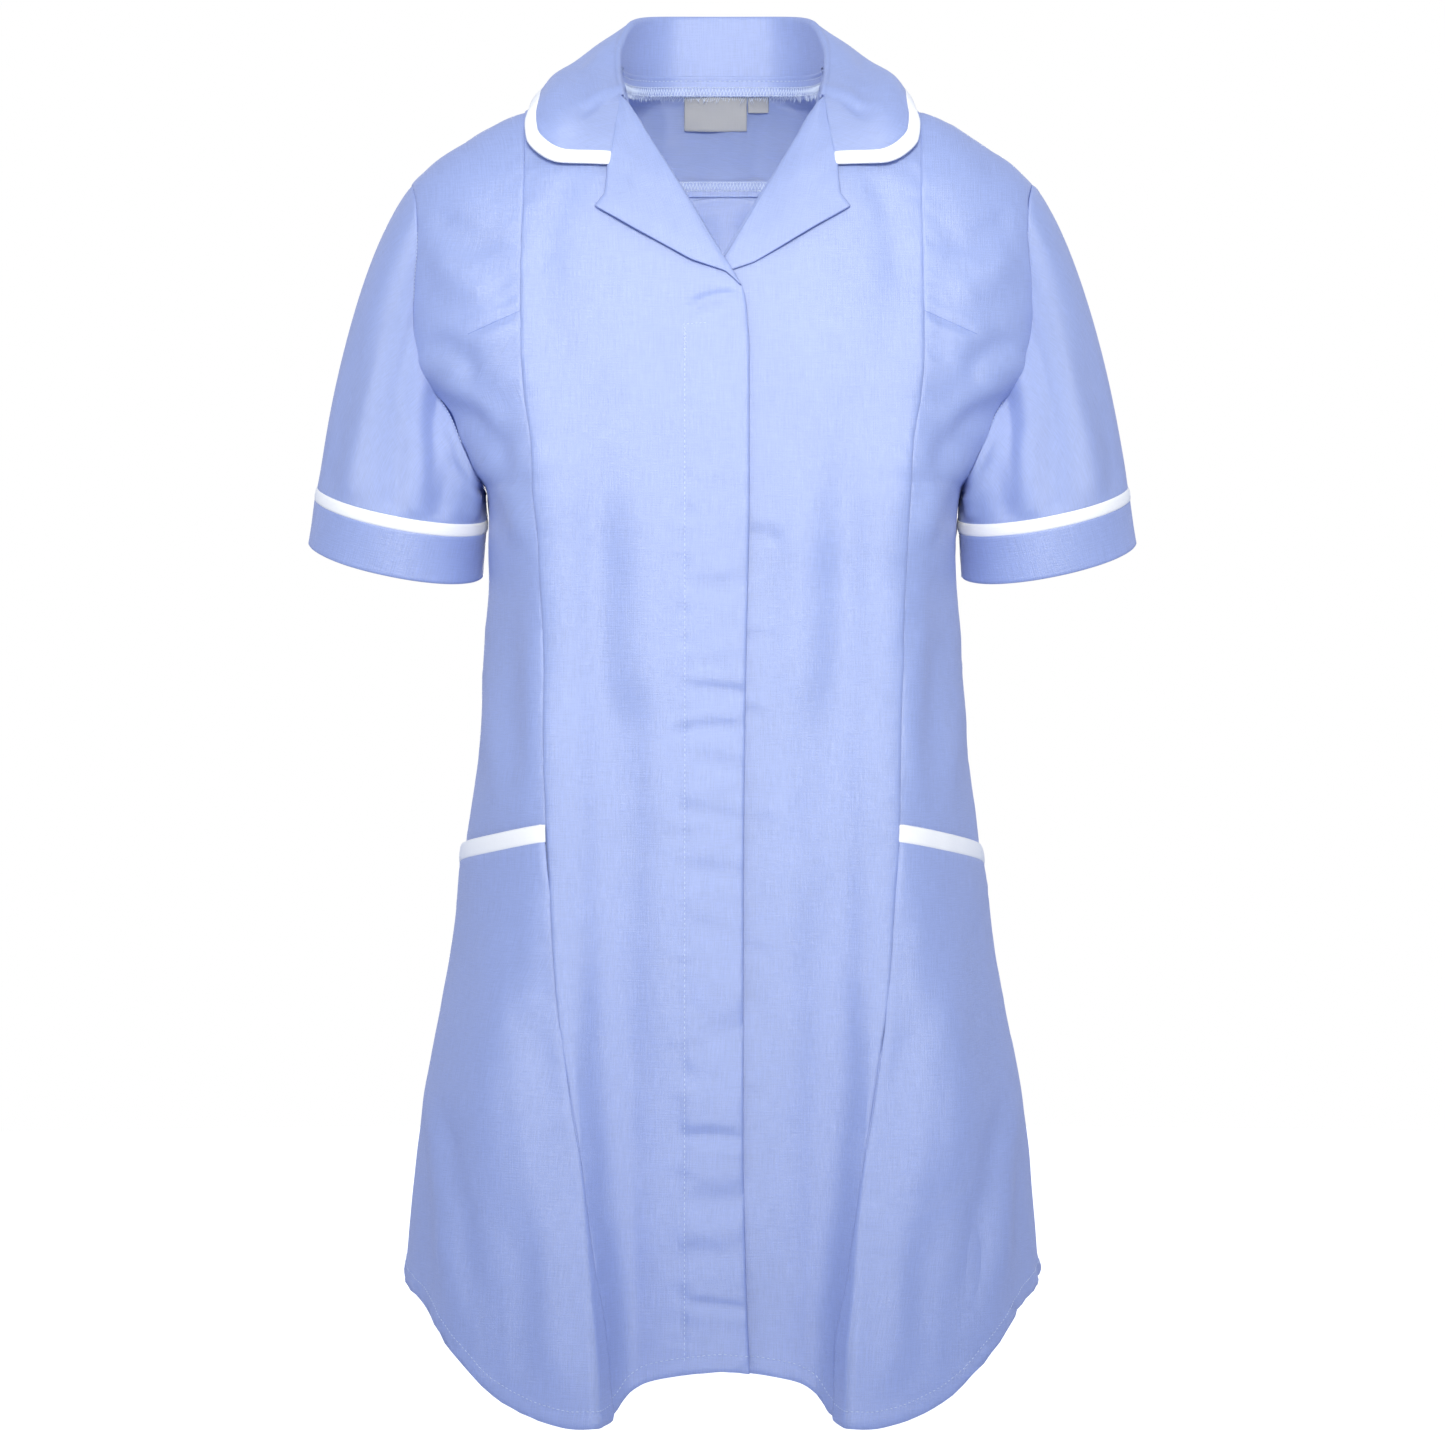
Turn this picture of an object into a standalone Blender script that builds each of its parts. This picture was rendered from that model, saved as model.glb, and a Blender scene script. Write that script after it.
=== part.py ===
"""Short-sleeved maternity tunic, filled out as if worn, with no wearer in it.

The front faces -Y, +Z is up and +X is the wearer's left. The origin is between the two shoulder
neck points. Every panel lies on one body surface, which is given by a turn round the body in
degrees (0 at the centre front, 90 at the side, 180 at the centre back) and a height.
All sizes are millimetres until the meshes are made.
"""

import bpy
import numpy as np

MM = 0.001
TUNIC = "maternity_tunic"

WALL = 1.2            # one layer of cloth, as a wall
COLLAR_WALL = 1.6     # two layers and interlining
TRIM_WALL = 1.8       # folded binding stands a little proud
SEAM_GAP = 0.3        # between two pieces along a seam
BENT_SEAM_GAP = 0.7   # measured mid cloth, where the seam lies on a bend and the walls lean in
LAY = 2.2             # from the middle of a panel to the middle of what lies on it
LAP = 3.8             # how far the left front runs behind the right front
FLY_DEPTH = 1.9       # how far the fly facing lies behind the right front
LAP_TO = 16.0         # the lap is full up to here, measured on the wearer's left
LAP_FADE = 44.0       # and has gone after this much more
COLLAR_TRIM = 9.0     # width of the binding round the collar
TOP_ROWS = 14         # rows of faces from the shoulder to the underarm
YOKE_ROWS = 3         # armhole rows that the yoke takes up
SHOULDER_ROWS = 6     # rows of the yoke along the shoulder
BACK_COLUMNS = 9      # columns from the side to the centre back
SKIRT_ROWS = 17       # rows from the underarm to the hem
NECK_ROWS = 7         # of the top rows, those that run beside the open neck
UNDERARM = -259.5
TOP_FOOT = -292.0     # where the top rows end at the princess seam and the centre
ARMHOLE_STEP = 1.7    # the sleeve starts this far out where it turns down beside the body
FRONT_COLUMNS = (0, .14, .28, .42, .55, .67, .78, .87, .94, 1)
FLUTES_FROM = -430.0  # the flared skirt starts to wave below here
SOFT_FOLD = 1.5       # a wave deepens with this power of the way down


def table(names, *rows):
    """A short table, as one array for each named column."""
    return dict(zip(names.split(), np.array(rows, float).T))


def curve(along, values):
    """A smooth curve through the values that never overshoots them."""
    order = np.argsort(along)
    x, y = np.asarray(along, float)[order], np.asarray(values, float)[order]
    step = np.diff(x)
    rise = np.diff(y) / step
    slope = np.zeros_like(x)
    slope[0], slope[-1] = rise[0], rise[-1]
    for i in range(1, len(x) - 1):
        if rise[i - 1] * rise[i] > 0:
            before, after = 2 * step[i] + step[i - 1], step[i] + 2 * step[i - 1]
            slope[i] = (before + after) / (before / rise[i - 1] + after / rise[i])

    def at(value):
        value = np.asarray(value, float)
        i = np.clip(np.searchsorted(x, value) - 1, 0, len(x) - 2)
        t = (value - x[i]) / step[i]
        return ((1 + 2 * t) * (1 - t) ** 2 * y[i] + t * (1 - t) ** 2 * step[i] * slope[i]
                + t * t * (3 - 2 * t) * y[i + 1] + t * t * (t - 1) * step[i] * slope[i + 1])

    return at


def ease(t):
    """From 0 to 1 with a soft start and a soft end."""
    t = np.clip(t, 0, 1)
    return t * t * (3 - 2 * t)


# The body surface: half width at the side, depth ahead of the side line and behind it, and how
# square the section is (2 is an ellipse)
BODY = table(
    "height width front back square",
    (10, 60, 46, 63, 2.5),
    (0, 64, 50, 66, 2.5),
    (-8, 92, 54, 70, 2.5),
    (-17, 120, 60, 74, 2.5),
    (-24, 140, 64, 77, 2.5),
    (-39, 166, 72, 83, 2.5),
    (-54, 187, 80, 88, 2.5),
    (-70, 201, 88, 92, 2.5),
    (-90, 206, 96, 97, 2.5),
    (-130, 206, 109, 103, 2.5),
    (-160, 204, 117, 105, 2.5),
    (-184, 199, 121, 105, 2.5),
    (-206, 182, 125, 104, 2.5),
    (-230, 170, 127, 102, 2.5),
    (-250, 158, 128, 99, 2.5),
    (-259.5, 150, 128, 98, 2.5),
    (-330, 147.5, 126, 93, 2.5),
    (-394, 151, 127, 94, 2.4),
    (-470, 161, 133, 101, 2.4),
    (-547, 170, 143, 111, 2.3),
    (-586, 177, 150, 117, 2.3),
    (-662, 190, 166, 129, 2.3),
    (-739, 198.5, 182, 141, 2.3),
    (-800, 201, 192, 149, 2.3),
    (-850, 202, 198, 154, 2.3),
)
half_width = curve(BODY["height"], BODY["width"])
front_depth = curve(BODY["height"], BODY["front"])
back_depth = curve(BODY["height"], BODY["back"])
squareness = curve(BODY["height"], BODY["square"])

# The centre front sinks between two upright ridges that sharpen towards the hem: where the ridge
# is, how deep the middle sinks, over what width, and how crisp the ridge is
HOLLOW = table(
    "height ridge depth run crisp",
    (-120, 100, 0, 60, 0),
    (-260, 96, 4, 52, 0),
    (-400, 95, 7, 48, 0),
    (-520, 94, 10, 44, .1),
    (-600, 93, 15, 40, .3),
    (-680, 87, 25, 34, .6),
    (-740, 82, 33, 30, .8),
    (-800, 77, 40, 26, .9),
    (-850, 75, 44, 24, .9),
)
ridge_at = curve(HOLLOW["height"], HOLLOW["ridge"])
hollow_depth = curve(HOLLOW["height"], HOLLOW["depth"])
hollow_run = curve(HOLLOW["height"], HOLLOW["run"])
hollow_crisp = curve(HOLLOW["height"], HOLLOW["crisp"])

# Soft waves of the flared skirt, at their fullest at the hem, the same on both sides
FLUTES = table(
    "turn spread rise",
    (52, 8, 5),
    (64, 7, -4),
    (108, 9, -6),
    (124, 10, 9),
    (141, 8, -9),
    (157, 9, 9),
    (180, 11, -9),
)

# Height of the hem round the body
HEM = table(
    "turn height",
    (0, -803.5), (5, -805), (10, -807.5), (14, -811), (16.5, -817), (19, -828), (22, -833.5),
    (26, -834.5), (31, -832), (36, -827), (41, -820), (49, -800), (58, -781), (67, -769),
    (76, -762), (90, -758), (102, -761), (114, -772), (127, -789), (142, -803), (158, -812),
    (180, -816),
)
hem_height = curve(HEM["turn"], HEM["height"])

# Seams, as the distance across from the centre line at each height
PRINCESS = table(
    "height across",
    (-16, 125), (-70, 124.5), (-146, 125), (-180, 124), (-205, 121), (-236, 115), (-262, 112.5),
    (-295, 110), (-357, 107), (-475, 105), (-518, 102.5), (-578, 98.5), (-639, 92),
    (-686, 85), (-740, 78), (-790, 70), (-831, 68.5),
)
ARMHOLE_FRONT = table(
    "height across",
    (-66, 197), (-80, 193.5), (-103, 192), (-133, 194), (-153, 194.5), (-169, 192),
    (-184, 188), (-200, 180), (-213, 171.5), (-233, 162.5), (-251, 154.5), (UNDERARM, 150),
)
ARMHOLE_BACK = table(
    "height across",
    (-66, 197), (-84, 190), (-103, 187), (-133, 186), (-160, 186), (-184, 182), (-200, 175),
    (-213, 168), (-233, 160.5), (-251, 154), (UNDERARM, 150),
)
# The front's free edge: neckline under the collar, turned-back edge of the open neck, then the
# edge of the right front, which passes the centre, so its distance across is negative
RIGHT_EDGE = table(
    "height across",
    (0, 64), (-4, 68), (-10, 69.5), (-15, 67), (-22, 57.5), (-42, 45.5), (-83, 20.2), (-119, -.9),
    (-130, -7.7), (-138, -12), (-147, -14.5), (-160, -15.3), (-172, -16.3), (-262, -16.3),
    (-308, -15.7), (-363, -14.4), (-517, -12.6), (-667, -12.4), (-727, -13.6), (-774, -15),
    (-801, -16.5),
)
LEFT_EDGE = table(
    "height across",
    (0, 64), (-4, 68), (-10, 69.5), (-15, 67), (-22, 57.5), (-42, 45.5), (-83, 20.2), (-119, -.9),
    (-138, -12), (-150, -19), (-172, -22), (-262, -22), (-803, -22),
)
BACK_NECK = table("height across", (0, 64), (1, 61), (3, 50), (5, 29), (6, 0))
NECK_FOOT = -137.0    # where the open neck ends at the top of the front closure
YOKE_DROP_CENTRE = -63.0

# Pocket mouths: heights of the trim's upper and lower edges at the princess seam and at the side,
# with a slight sag between
POCKET_TOP = table("share height", (0, -472), (.3, -477.5), (.65, -483), (1, -489))
POCKET_TRIM = 10.5
POCKET_LIFT = 1.2     # the mouth stands this much further off the panel
POCKET_FROM_ROW = TOP_ROWS + 9  # the side front's rows that the pocket follows, under its mouth

# Lapels: the free edge from the collar end down to the point, and the lower edge back to the
# closure, as distance across and height, with how far each point stands off the front
GORGE = table(
    "across height lift",
    (63.4, -18.5, 3), (65, -27, 3.4), (67.4, -43, 4), (69, -53, 4.4), (70.8, -62, 4.6),
)
LAPEL_ROLL = table(
    "height across",
    (-18, 58.5), (-42, 45.5), (-83, 20.2), (-119, -.9), (-130, -7.7), (-138, -12),
)
LAPEL_TIP = table(
    "across height lift",
    (70.8, -62, 4.6), (71.6, -72, 4.8), (72.6, -81, 4.8), (78.5, -88.3, 4.6),
)
LAPEL_FOOT_RIGHT = table(
    "across height lift",
    (-11.5, -137.5, 1.7), (-1.5, -129, 2.6), (19.5, -122, 3.6), (51, -104.5, 4.6),
    (78.5, -88.3, 4.6),
)
LAPEL_FOOT_LEFT = table(
    "across height lift",
    (-9, -135.5, 1.6), (-1.5, -129, 1.6), (19.5, -122, 2.6), (51, -104.5, 4.6),
    (78.5, -88.3, 4.6),
)
LAPEL_COLUMNS = 5
LAPEL_FOLD = 1.6      # lift of the lapel at its fold

# Half of the collar, centre back first: the neck seam, the roll line and the outer edge of the
# fall, each as a place in space
COLLAR = table(
    "neck_x neck_y neck_z roll_x roll_y roll_z edge_x edge_y edge_z bulge",
    (0, 64, 7, 0, 71, 53, 0, 82, -13, 4),
    (28, 59, 6.4, 28, 67, 52.5, 36, 79, -14, 4),
    (48, 45, 4.6, 47.5, 51, 50, 72, 68, -14, 5),
    (59, 25, 3, 58, 28, 44.5, 98, 45, -12.5, 6),
    (63.5, 3, 1.8, 63.5, 10, 34, 113, 10, -9, 7),
    (64.2, -12, 1.2, 66.6, -6, 21, 119.5, -20, -12, 7),
    (63, -24, -2, 66.2, -22, 7.5, 121.5, -43, -20, 6.5),
    (62, -35, -7, 65, -37.5, -1.5, 124, -56, -31, 5.5),
    (60.5, -43, -13, 63.9, -47.5, -6, 122.5, -67, -42, 5),
    (59.8, -46, -16.5, 63.2, -52, -10, 109, -79, -55.5, 4.5),
    (59.4, -47, -18.5, 62.6, -54, -12.5, 88, -86, -61.5, 4),
)
COLLAR_STATIONS = (0, .6, 1.2, 1.8, 2.4, 3, 3.5, 4, 4.5, 5, 5.5, 6, 6.5, 7, 7.5, 8, 8.4, 8.8,
                   9.2, 9.6, 10)
FALL_SHARES = (.12, .27, .43, .58, .72)
ROLL = 2.2            # radius of the collar's roll

# Sleeve: ends of three parallel rings at its outer and inner side
RINGS = table(
    "outer_x outer_z inner_x inner_z reach drop",
    (258.7, -257, 151.2, -278, 59, 11),
    (260.2, -264.4, 151.4, -285.6, 59.5, 11.3),
    (264.4, -293, 153.6, -314.5, 60.5, 12.5),
)
SLEEVE_ROWS = 9
CUFF_ROWS = 2
SLEEVE_HEAD = (.60, 0, -.80)   # how the sleeve leaves the shoulder
SLEEVE_SIDE = (.30, .30, -.90)  # and the front and back of the armhole
SLEEVE_PULL = .82

LABELS = table(
    "across width foot",
    (-4.6, 40.5, -20),
    (23.6, 13, -8.5),
)
LABEL_TOP = 3.0
LABEL_STANDS_OFF = 1.7
LABEL_WALL = 1.0

CLOTH_BLUE = (.40, .50, .84)
BINDING_WHITE = (.93, .94, .95)
LABEL_GREY = (.45, .45, .46)


def body(turn, height):
    """Points on the middle of the cloth at a turn round the body and a height."""
    turn, height = np.broadcast_arrays(np.asarray(turn, float), np.asarray(height, float))
    sine, cosine = np.sin(np.radians(turn)), np.cos(np.radians(turn))
    depth = np.where(cosine > 0, front_depth(height), back_depth(height))
    power = squareness(height)
    reach = ((np.abs(sine) / half_width(height)) ** power
             + (np.abs(cosine) / depth) ** power) ** (-1 / power)
    down = np.clip((FLUTES_FROM - height) / (FLUTES_FROM - HEM["height"].min()), 0, 1)
    for centre, spread, rise in zip(FLUTES["turn"], FLUTES["spread"], FLUTES["rise"]):
        away = (np.abs(turn) - centre) / spread
        reach = reach + rise * down ** SOFT_FOLD * np.exp(-away ** 2)
    x, y = reach * sine, -reach * cosine
    inside = np.clip((ridge_at(height) - np.abs(x)) / hollow_run(height), 0, 1)
    crisp = hollow_crisp(height)
    sunk = crisp * inside * (2 - inside) + (1 - crisp) * ease(inside)
    y = y + np.where(cosine > 0, hollow_depth(height) * sunk, 0)
    return np.stack([x, y, height], axis=-1)


def outward(turn, height):
    """The way out of the cloth, square to it."""
    sideways = body(np.asarray(turn) + .5, height) - body(np.asarray(turn) - .5, height)
    upward = body(turn, np.asarray(height) + 1) - body(turn, np.asarray(height) - 1)
    normal = np.cross(sideways, upward)
    return normal / np.linalg.norm(normal, axis=-1, keepdims=True)


def cloth(places, lift=0.0):
    """Points at (turn, height) places, moved out of the body surface by a lift."""
    turn, height = places[..., 0], places[..., 1]
    return body(turn, height) + np.asarray(lift)[..., None] * outward(turn, height)


def turn_at(across, height, behind=False):
    """The turn at which the body surface is that far across from its centre line."""
    share = np.clip(np.abs(across) / half_width(height), 0, 1)
    power = squareness(height)
    depth = back_depth(height) if behind else front_depth(height)
    ahead = depth * (1 - share ** power) ** (1 / power)
    turn = np.degrees(np.arctan2(np.abs(across), ahead))
    turn = np.where(share >= 1, 90, turn)
    return np.where(np.asarray(across) < 0, -1, 1) * (180 - turn if behind else turn)


def seam(rows, heights, behind=False):
    """Places down a seam, at the given heights."""
    across = curve(rows["height"], rows["across"])(heights)
    return np.stack([turn_at(across, heights, behind), heights], axis=-1)


def even(places, count):
    """The same line with evenly spaced places along it."""
    points = body(places[:, 0], places[:, 1])
    length = np.concatenate([[0], np.cumsum(np.linalg.norm(np.diff(points, axis=0), axis=1))])
    wanted = np.linspace(0, length[-1], count + 1)
    return np.stack([np.interp(wanted, length, column) for column in places.T], axis=-1)


def armhole(rows, behind):
    """Armhole places from the shoulder point to the underarm."""
    heights = np.linspace(rows["height"][0], UNDERARM, 120)
    places = seam(rows, heights, behind)
    places[0, 0] = places[-1, 0] = 90
    return even(places, TOP_ROWS)


def hem_at(turn):
    return hem_height(np.abs(turn))


def down_to_hem(places, rows):
    """Add rows from the last place to the hem, each following the seam that rows gives."""
    start = places[-1, 1]
    across = None if rows is None else curve(rows["height"], rows["across"])
    foot = hem_at(90.0)
    if across is not None:
        foot = rows["height"].min()
    heights = np.linspace(start, foot, SKIRT_ROWS + 1)[1:]
    turns = np.full_like(heights, 90.0) if across is None else turn_at(across(heights), heights)
    return np.concatenate([places, np.stack([turns, heights], axis=-1)])


def princess():
    top = np.linspace(PRINCESS["height"][0], TOP_FOOT, TOP_ROWS + 1)
    places = seam(PRINCESS, top)
    places[0, 0] = 90
    return down_to_hem(places, PRINCESS)


def free_edge(rows):
    """The front's inner edge: open neck, then closure, then down to the hem."""
    neck = seam(rows, np.concatenate([np.linspace(0, -13.5, 30), np.linspace(-14, NECK_FOOT, 60)]))
    neck[0, 0] = 90
    neck = even(neck, NECK_ROWS)
    top = np.linspace(NECK_FOOT, TOP_FOOT, TOP_ROWS - NECK_ROWS + 1)[1:]
    return down_to_hem(np.concatenate([neck, seam(rows, top)]), rows)


def side_seam():
    heights = np.linspace(UNDERARM, hem_at(90.0), SKIRT_ROWS + 1)[1:]
    return np.stack([np.full_like(heights, 90.0), heights], axis=-1)


def spread(left, right, shares, top=None, bottom=None):
    """Places over a panel between two long edges and, where they bend, its two ends."""
    shares = np.broadcast_to(np.asarray(shares, float), (len(left), np.shape(shares)[-1]))[..., None]
    places = (1 - shares) * left[:, None] + shares * right[:, None]
    down = np.linspace(0, 1, len(left))[:, None, None]
    if top is not None:
        places = places + (1 - down) * (top - places[0])
    if bottom is not None:
        places = places + down * (bottom - places[-1])
    return places


def along_hem(left, right, shares):
    """Places along the hem between the ends of two long edges."""
    turns = left[-1, 0] + (right[-1, 0] - left[-1, 0]) * np.asarray(shares)
    return np.stack([turns, hem_at(turns)], axis=-1)


def front_places(rows):
    left, right = free_edge(rows), princess()
    return spread(left, right, FRONT_COLUMNS, bottom=along_hem(left, right, FRONT_COLUMNS))


def side_front_places():
    """Columns of the side front: the first one follows the ridge that stands beside the seam."""
    left = princess()
    right = np.concatenate([armhole(ARMHOLE_FRONT, False), side_seam()])
    heights = left[:, 1]
    ridge = (turn_at(ridge_at(heights), heights) - left[:, 0]) / (right[:, 0] - left[:, 0] + 1e-9)
    first = np.maximum(ridge, .02 + .13 * ease((heights + 760) / 160))
    first = np.where(heights > -600, .15, first)
    rest = np.linspace(0, 1, 6)
    shares = np.concatenate(
        [np.zeros((len(left), 1)), first[:, None] + (1 - first[:, None]) * rest], axis=1)
    return spread(left, right, shares, bottom=along_hem(left, right, shares[-1]))


def lap(places):
    """How far the left front runs behind the right one."""
    across = body(places[..., 0], places[..., 1])[..., 0]
    return -LAP * ease(1 - (across - LAP_TO) / LAP_FADE)


def parted(points, left=0.0, right=0.0, top=0.0, bottom=0.0):
    """Draw the edges of a grid in by half of the seam gap given for each."""
    points = points.copy()

    def draw(edge, inner, gap):
        way = inner - edge
        return edge + gap / 2 * way / np.linalg.norm(way, axis=-1, keepdims=True)

    points[:, 0] = draw(points[:, 0], points[:, 1], left)
    points[:, -1] = draw(points[:, -1], points[:, -2], right)
    points[0] = draw(points[0], points[1], top)
    points[-1] = draw(points[-1], points[-2], bottom)
    return points


def faced(points, lift):
    """A grid moved out square to its own faces, so that it also clears them at a sharp ridge."""
    down = np.gradient(points, axis=0)
    ways = np.cross(down[:, :-1], np.diff(points, axis=1))
    ways = ways / np.linalg.norm(ways, axis=-1, keepdims=True)
    before, after = np.concatenate([ways[:, :1], ways], 1), np.concatenate([ways, ways[:, -1:]], 1)
    corner = 1 + np.sum(before * after, axis=-1, keepdims=True)
    return points + np.asarray(lift)[..., None] * (before + after) / corner


def finish_of(name, colour, roughness):
    material = bpy.data.materials.get(name) or bpy.data.materials.new(name)
    material.use_nodes = True
    shader = material.node_tree.nodes["Principled BSDF"]
    shader.inputs["Base Color"].default_value = (*colour, 1)
    shader.inputs["Roughness"].default_value = roughness
    shader.inputs["Metallic"].default_value = 0
    return material


def sheet(name, points, wall, material, ring=False, mirrored=False):
    """A grid of points, row by row, as cloth with a wall; a ring closes each row on itself."""
    rows, columns = points.shape[:2]
    faces = []
    for row in range(rows - 1):
        for column in range(columns if ring else columns - 1):
            near, far = row * columns + column, row * columns + (column + 1) % columns
            faces.append((near, near + columns, far + columns))
            faces.append((near, far + columns, far))
    mesh = bpy.data.meshes.new(name)
    mesh.from_pydata((points.reshape(-1, 3) * MM).tolist(), [], faces)
    mesh.materials.append(material)
    mesh.shade_smooth()
    piece = bpy.data.objects.new(name, mesh)
    bpy.data.collections[TUNIC].objects.link(piece)
    if mirrored:
        mirror = piece.modifiers.new("both_halves", "MIRROR")
        mirror.use_axis = (True, False, False)
        mirror.merge_threshold = .0001
    solid = piece.modifiers.new("cloth_wall", "SOLIDIFY")
    solid.thickness = wall * MM
    solid.offset = 0
    return piece


def flipped(points):
    """The same grid on the other side of the body, still facing out."""
    return points[:, ::-1] * np.array([-1, 1, 1])


def pair(name, points, wall, material, ring=False):
    """The wearer's left piece and its mirror image on the right."""
    sheet(name + "_left", points, wall, material, ring)
    sheet(name + "_right", flipped(points), wall, material, ring)


def make_fronts(blue):
    right, left = front_places(RIGHT_EDGE), front_places(LEFT_EDGE)
    points = parted(cloth(right), right=BENT_SEAM_GAP, top=BENT_SEAM_GAP)
    sheet("front_right", flipped(points), WALL, blue)
    points = parted(cloth(left, lap(left)), right=BENT_SEAM_GAP, top=BENT_SEAM_GAP)
    sheet("front_left", points, WALL, blue)
    points = parted(cloth(side_front_places()), BENT_SEAM_GAP, SEAM_GAP, BENT_SEAM_GAP)
    pair("side_front", points, WALL, blue)


def make_fly_facing(blue):
    """The inner layer of the closure, which lies behind the right front's edge."""
    heights = np.linspace(-166, -796, 22)
    edge = seam(RIGHT_EDGE, heights)
    far = np.stack([turn_at(np.full_like(heights, 24.0), heights), heights], axis=-1)
    places = spread(edge, far, (0, .5, 1))
    places[..., 0] = places[..., 0] + .15 * np.array([1, 0, -1])
    sheet("fly_facing", flipped(cloth(places, np.full(places.shape[:2], -FLY_DEPTH))), WALL, blue)


def make_back(blue):
    """The yoke over the shoulders and the back below it, each mirrored about the centre back."""
    side = np.concatenate([armhole(ARMHOLE_BACK, True), side_seam()])
    shares = np.linspace(0, 1, BACK_COLUMNS + 1)
    turns = side[YOKE_ROWS, 0] + (180 - side[YOKE_ROWS, 0]) * shares
    ends = ease((180 - turns) / (180 - turns[0]))
    heights = YOKE_DROP_CENTRE + (side[YOKE_ROWS, 1] - YOKE_DROP_CENTRE) * ends
    yoke_seam = np.stack([turns, heights], axis=-1)

    neck = seam(BACK_NECK, np.linspace(0, BACK_NECK["height"][-1], 60), True)
    neck[0, 0] = 90
    shoulder = np.stack([np.full(SHOULDER_ROWS + 1, 90.0), np.linspace(0, side[0, 1], SHOULDER_ROWS + 1)],
                        axis=-1)
    middle = np.stack([np.full(len(shoulder), 180.0),
                       np.linspace(neck[-1, 1], YOKE_DROP_CENTRE, len(shoulder))], axis=-1)
    foot = np.concatenate([side[:YOKE_ROWS], yoke_seam])
    columns = len(foot) - 1
    yoke = spread(shoulder, middle, np.linspace(0, 1, columns + 1), even(neck, columns), foot)
    points = parted(cloth(yoke), left=BENT_SEAM_GAP, bottom=SEAM_GAP)
    points[:, -1, 0] = 0
    sheet("yoke", points, WALL, blue, mirrored=True)

    outer = side[YOKE_ROWS:]
    upper = np.linspace(YOKE_DROP_CENTRE, TOP_FOOT, TOP_ROWS - YOKE_ROWS + 1)
    lower = np.linspace(TOP_FOOT, hem_at(180.0), SKIRT_ROWS + 1)
    heights = np.concatenate([upper, lower[1:]])
    middle = np.stack([np.full_like(heights, 180.0), heights], axis=-1)
    back = spread(outer, middle, shares, yoke_seam, along_hem(outer, middle, shares))
    points = parted(cloth(back), left=SEAM_GAP, top=SEAM_GAP)
    points[:, -1, 0] = 0
    sheet("back", points, WALL, blue, mirrored=True)


def make_pockets(blue, white):
    """Patch pockets that cover the side fronts from the slanted mouth down to the hem."""
    panel = side_front_places()
    below = panel[POCKET_FROM_ROW:]
    shares = (below[0, :, 0] - below[0, 0, 0]) / (below[0, -1, 0] - below[0, 0, 0])
    mouth = curve(POCKET_TOP["share"], POCKET_TOP["height"])(shares)
    upper = []
    for column in range(panel.shape[1]):
        top = np.array([mouth[column], mouth[column] - POCKET_TRIM])
        heights = np.append(top, (top[1] + below[0, column, 1]) / 2)
        turns = np.interp(heights, panel[::-1, column, 1], panel[::-1, column, 0])
        upper.append(np.stack([turns, heights], axis=-1))
    places = np.concatenate([np.stack(upper, axis=1), below])
    fade = np.clip(1 - np.arange(len(places)) / 5, 0, 1)[:, None]
    lift = np.broadcast_to(LAY + POCKET_LIFT * fade, places.shape[:2])
    points = faced(cloth(places), lift)
    trim = parted(points[:2], BENT_SEAM_GAP, SEAM_GAP, bottom=SEAM_GAP)
    pair("pocket_trim", trim, TRIM_WALL, white)
    pair("pocket", parted(points[1:], BENT_SEAM_GAP, SEAM_GAP, SEAM_GAP), WALL, blue)


def line(rows, count):
    """Evenly spaced rows of across, height and lift along a table's line."""
    places = np.stack([rows["across"], rows["height"], rows["lift"]], axis=-1)
    length = np.concatenate([[0], np.cumsum(np.linalg.norm(np.diff(places, axis=0), axis=1))])
    wanted = np.linspace(0, length[-1], count + 1)
    return np.stack([np.interp(wanted, length, column) for column in places.T], axis=-1)


def fall_shares():
    """Where the collar's rows lie between the roll and the outer edge."""
    return np.array((0,) + FALL_SHARES + (1,))


def lapel_points(foot, behind):
    """A turned-back front: rows run from the fold at the open neck out to the free edge."""
    gorge = gorge_points(fall_shares())
    tip = line(LAPEL_TIP, 3)[1:]
    free = np.concatenate([gorge, tip])
    rows = len(free)
    fold_heights = np.linspace(LAPEL_ROLL["height"].max(), foot["height"][0], rows)
    across = curve(LAPEL_ROLL["height"], LAPEL_ROLL["across"])(fold_heights)
    fold = np.stack([across, fold_heights, np.full(rows, LAPEL_FOLD)], axis=-1)
    lower = line(foot, LAPEL_COLUMNS)
    shares = np.linspace(0, 1, LAPEL_COLUMNS + 1)
    places = spread(fold, free, shares, bottom=lower)
    turns = turn_at(places[..., 0], places[..., 1])
    flat = np.stack([turns, places[..., 1]], axis=-1)
    lift = places[..., 2]
    if behind:
        lift = lift + lap(flat)
    return parted(cloth(flat, lift), right=SEAM_GAP)


def gorge_points(shares):
    """The seam between the collar's end and the lapel, as across, height and lift."""
    places = np.stack([GORGE["across"], GORGE["height"], GORGE["lift"]], axis=-1)
    length = np.concatenate([[0], np.cumsum(np.linalg.norm(np.diff(places, axis=0), axis=1))])
    return np.stack([np.interp(shares * length[-1], length, column) for column in places.T], -1)


def make_lapels(blue):
    points = lapel_points(LAPEL_FOOT_RIGHT, False)
    sheet("lapel_right", flipped(points), WALL, blue)
    sheet("lapel_left", lapel_points(LAPEL_FOOT_LEFT, True), WALL, blue)


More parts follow.
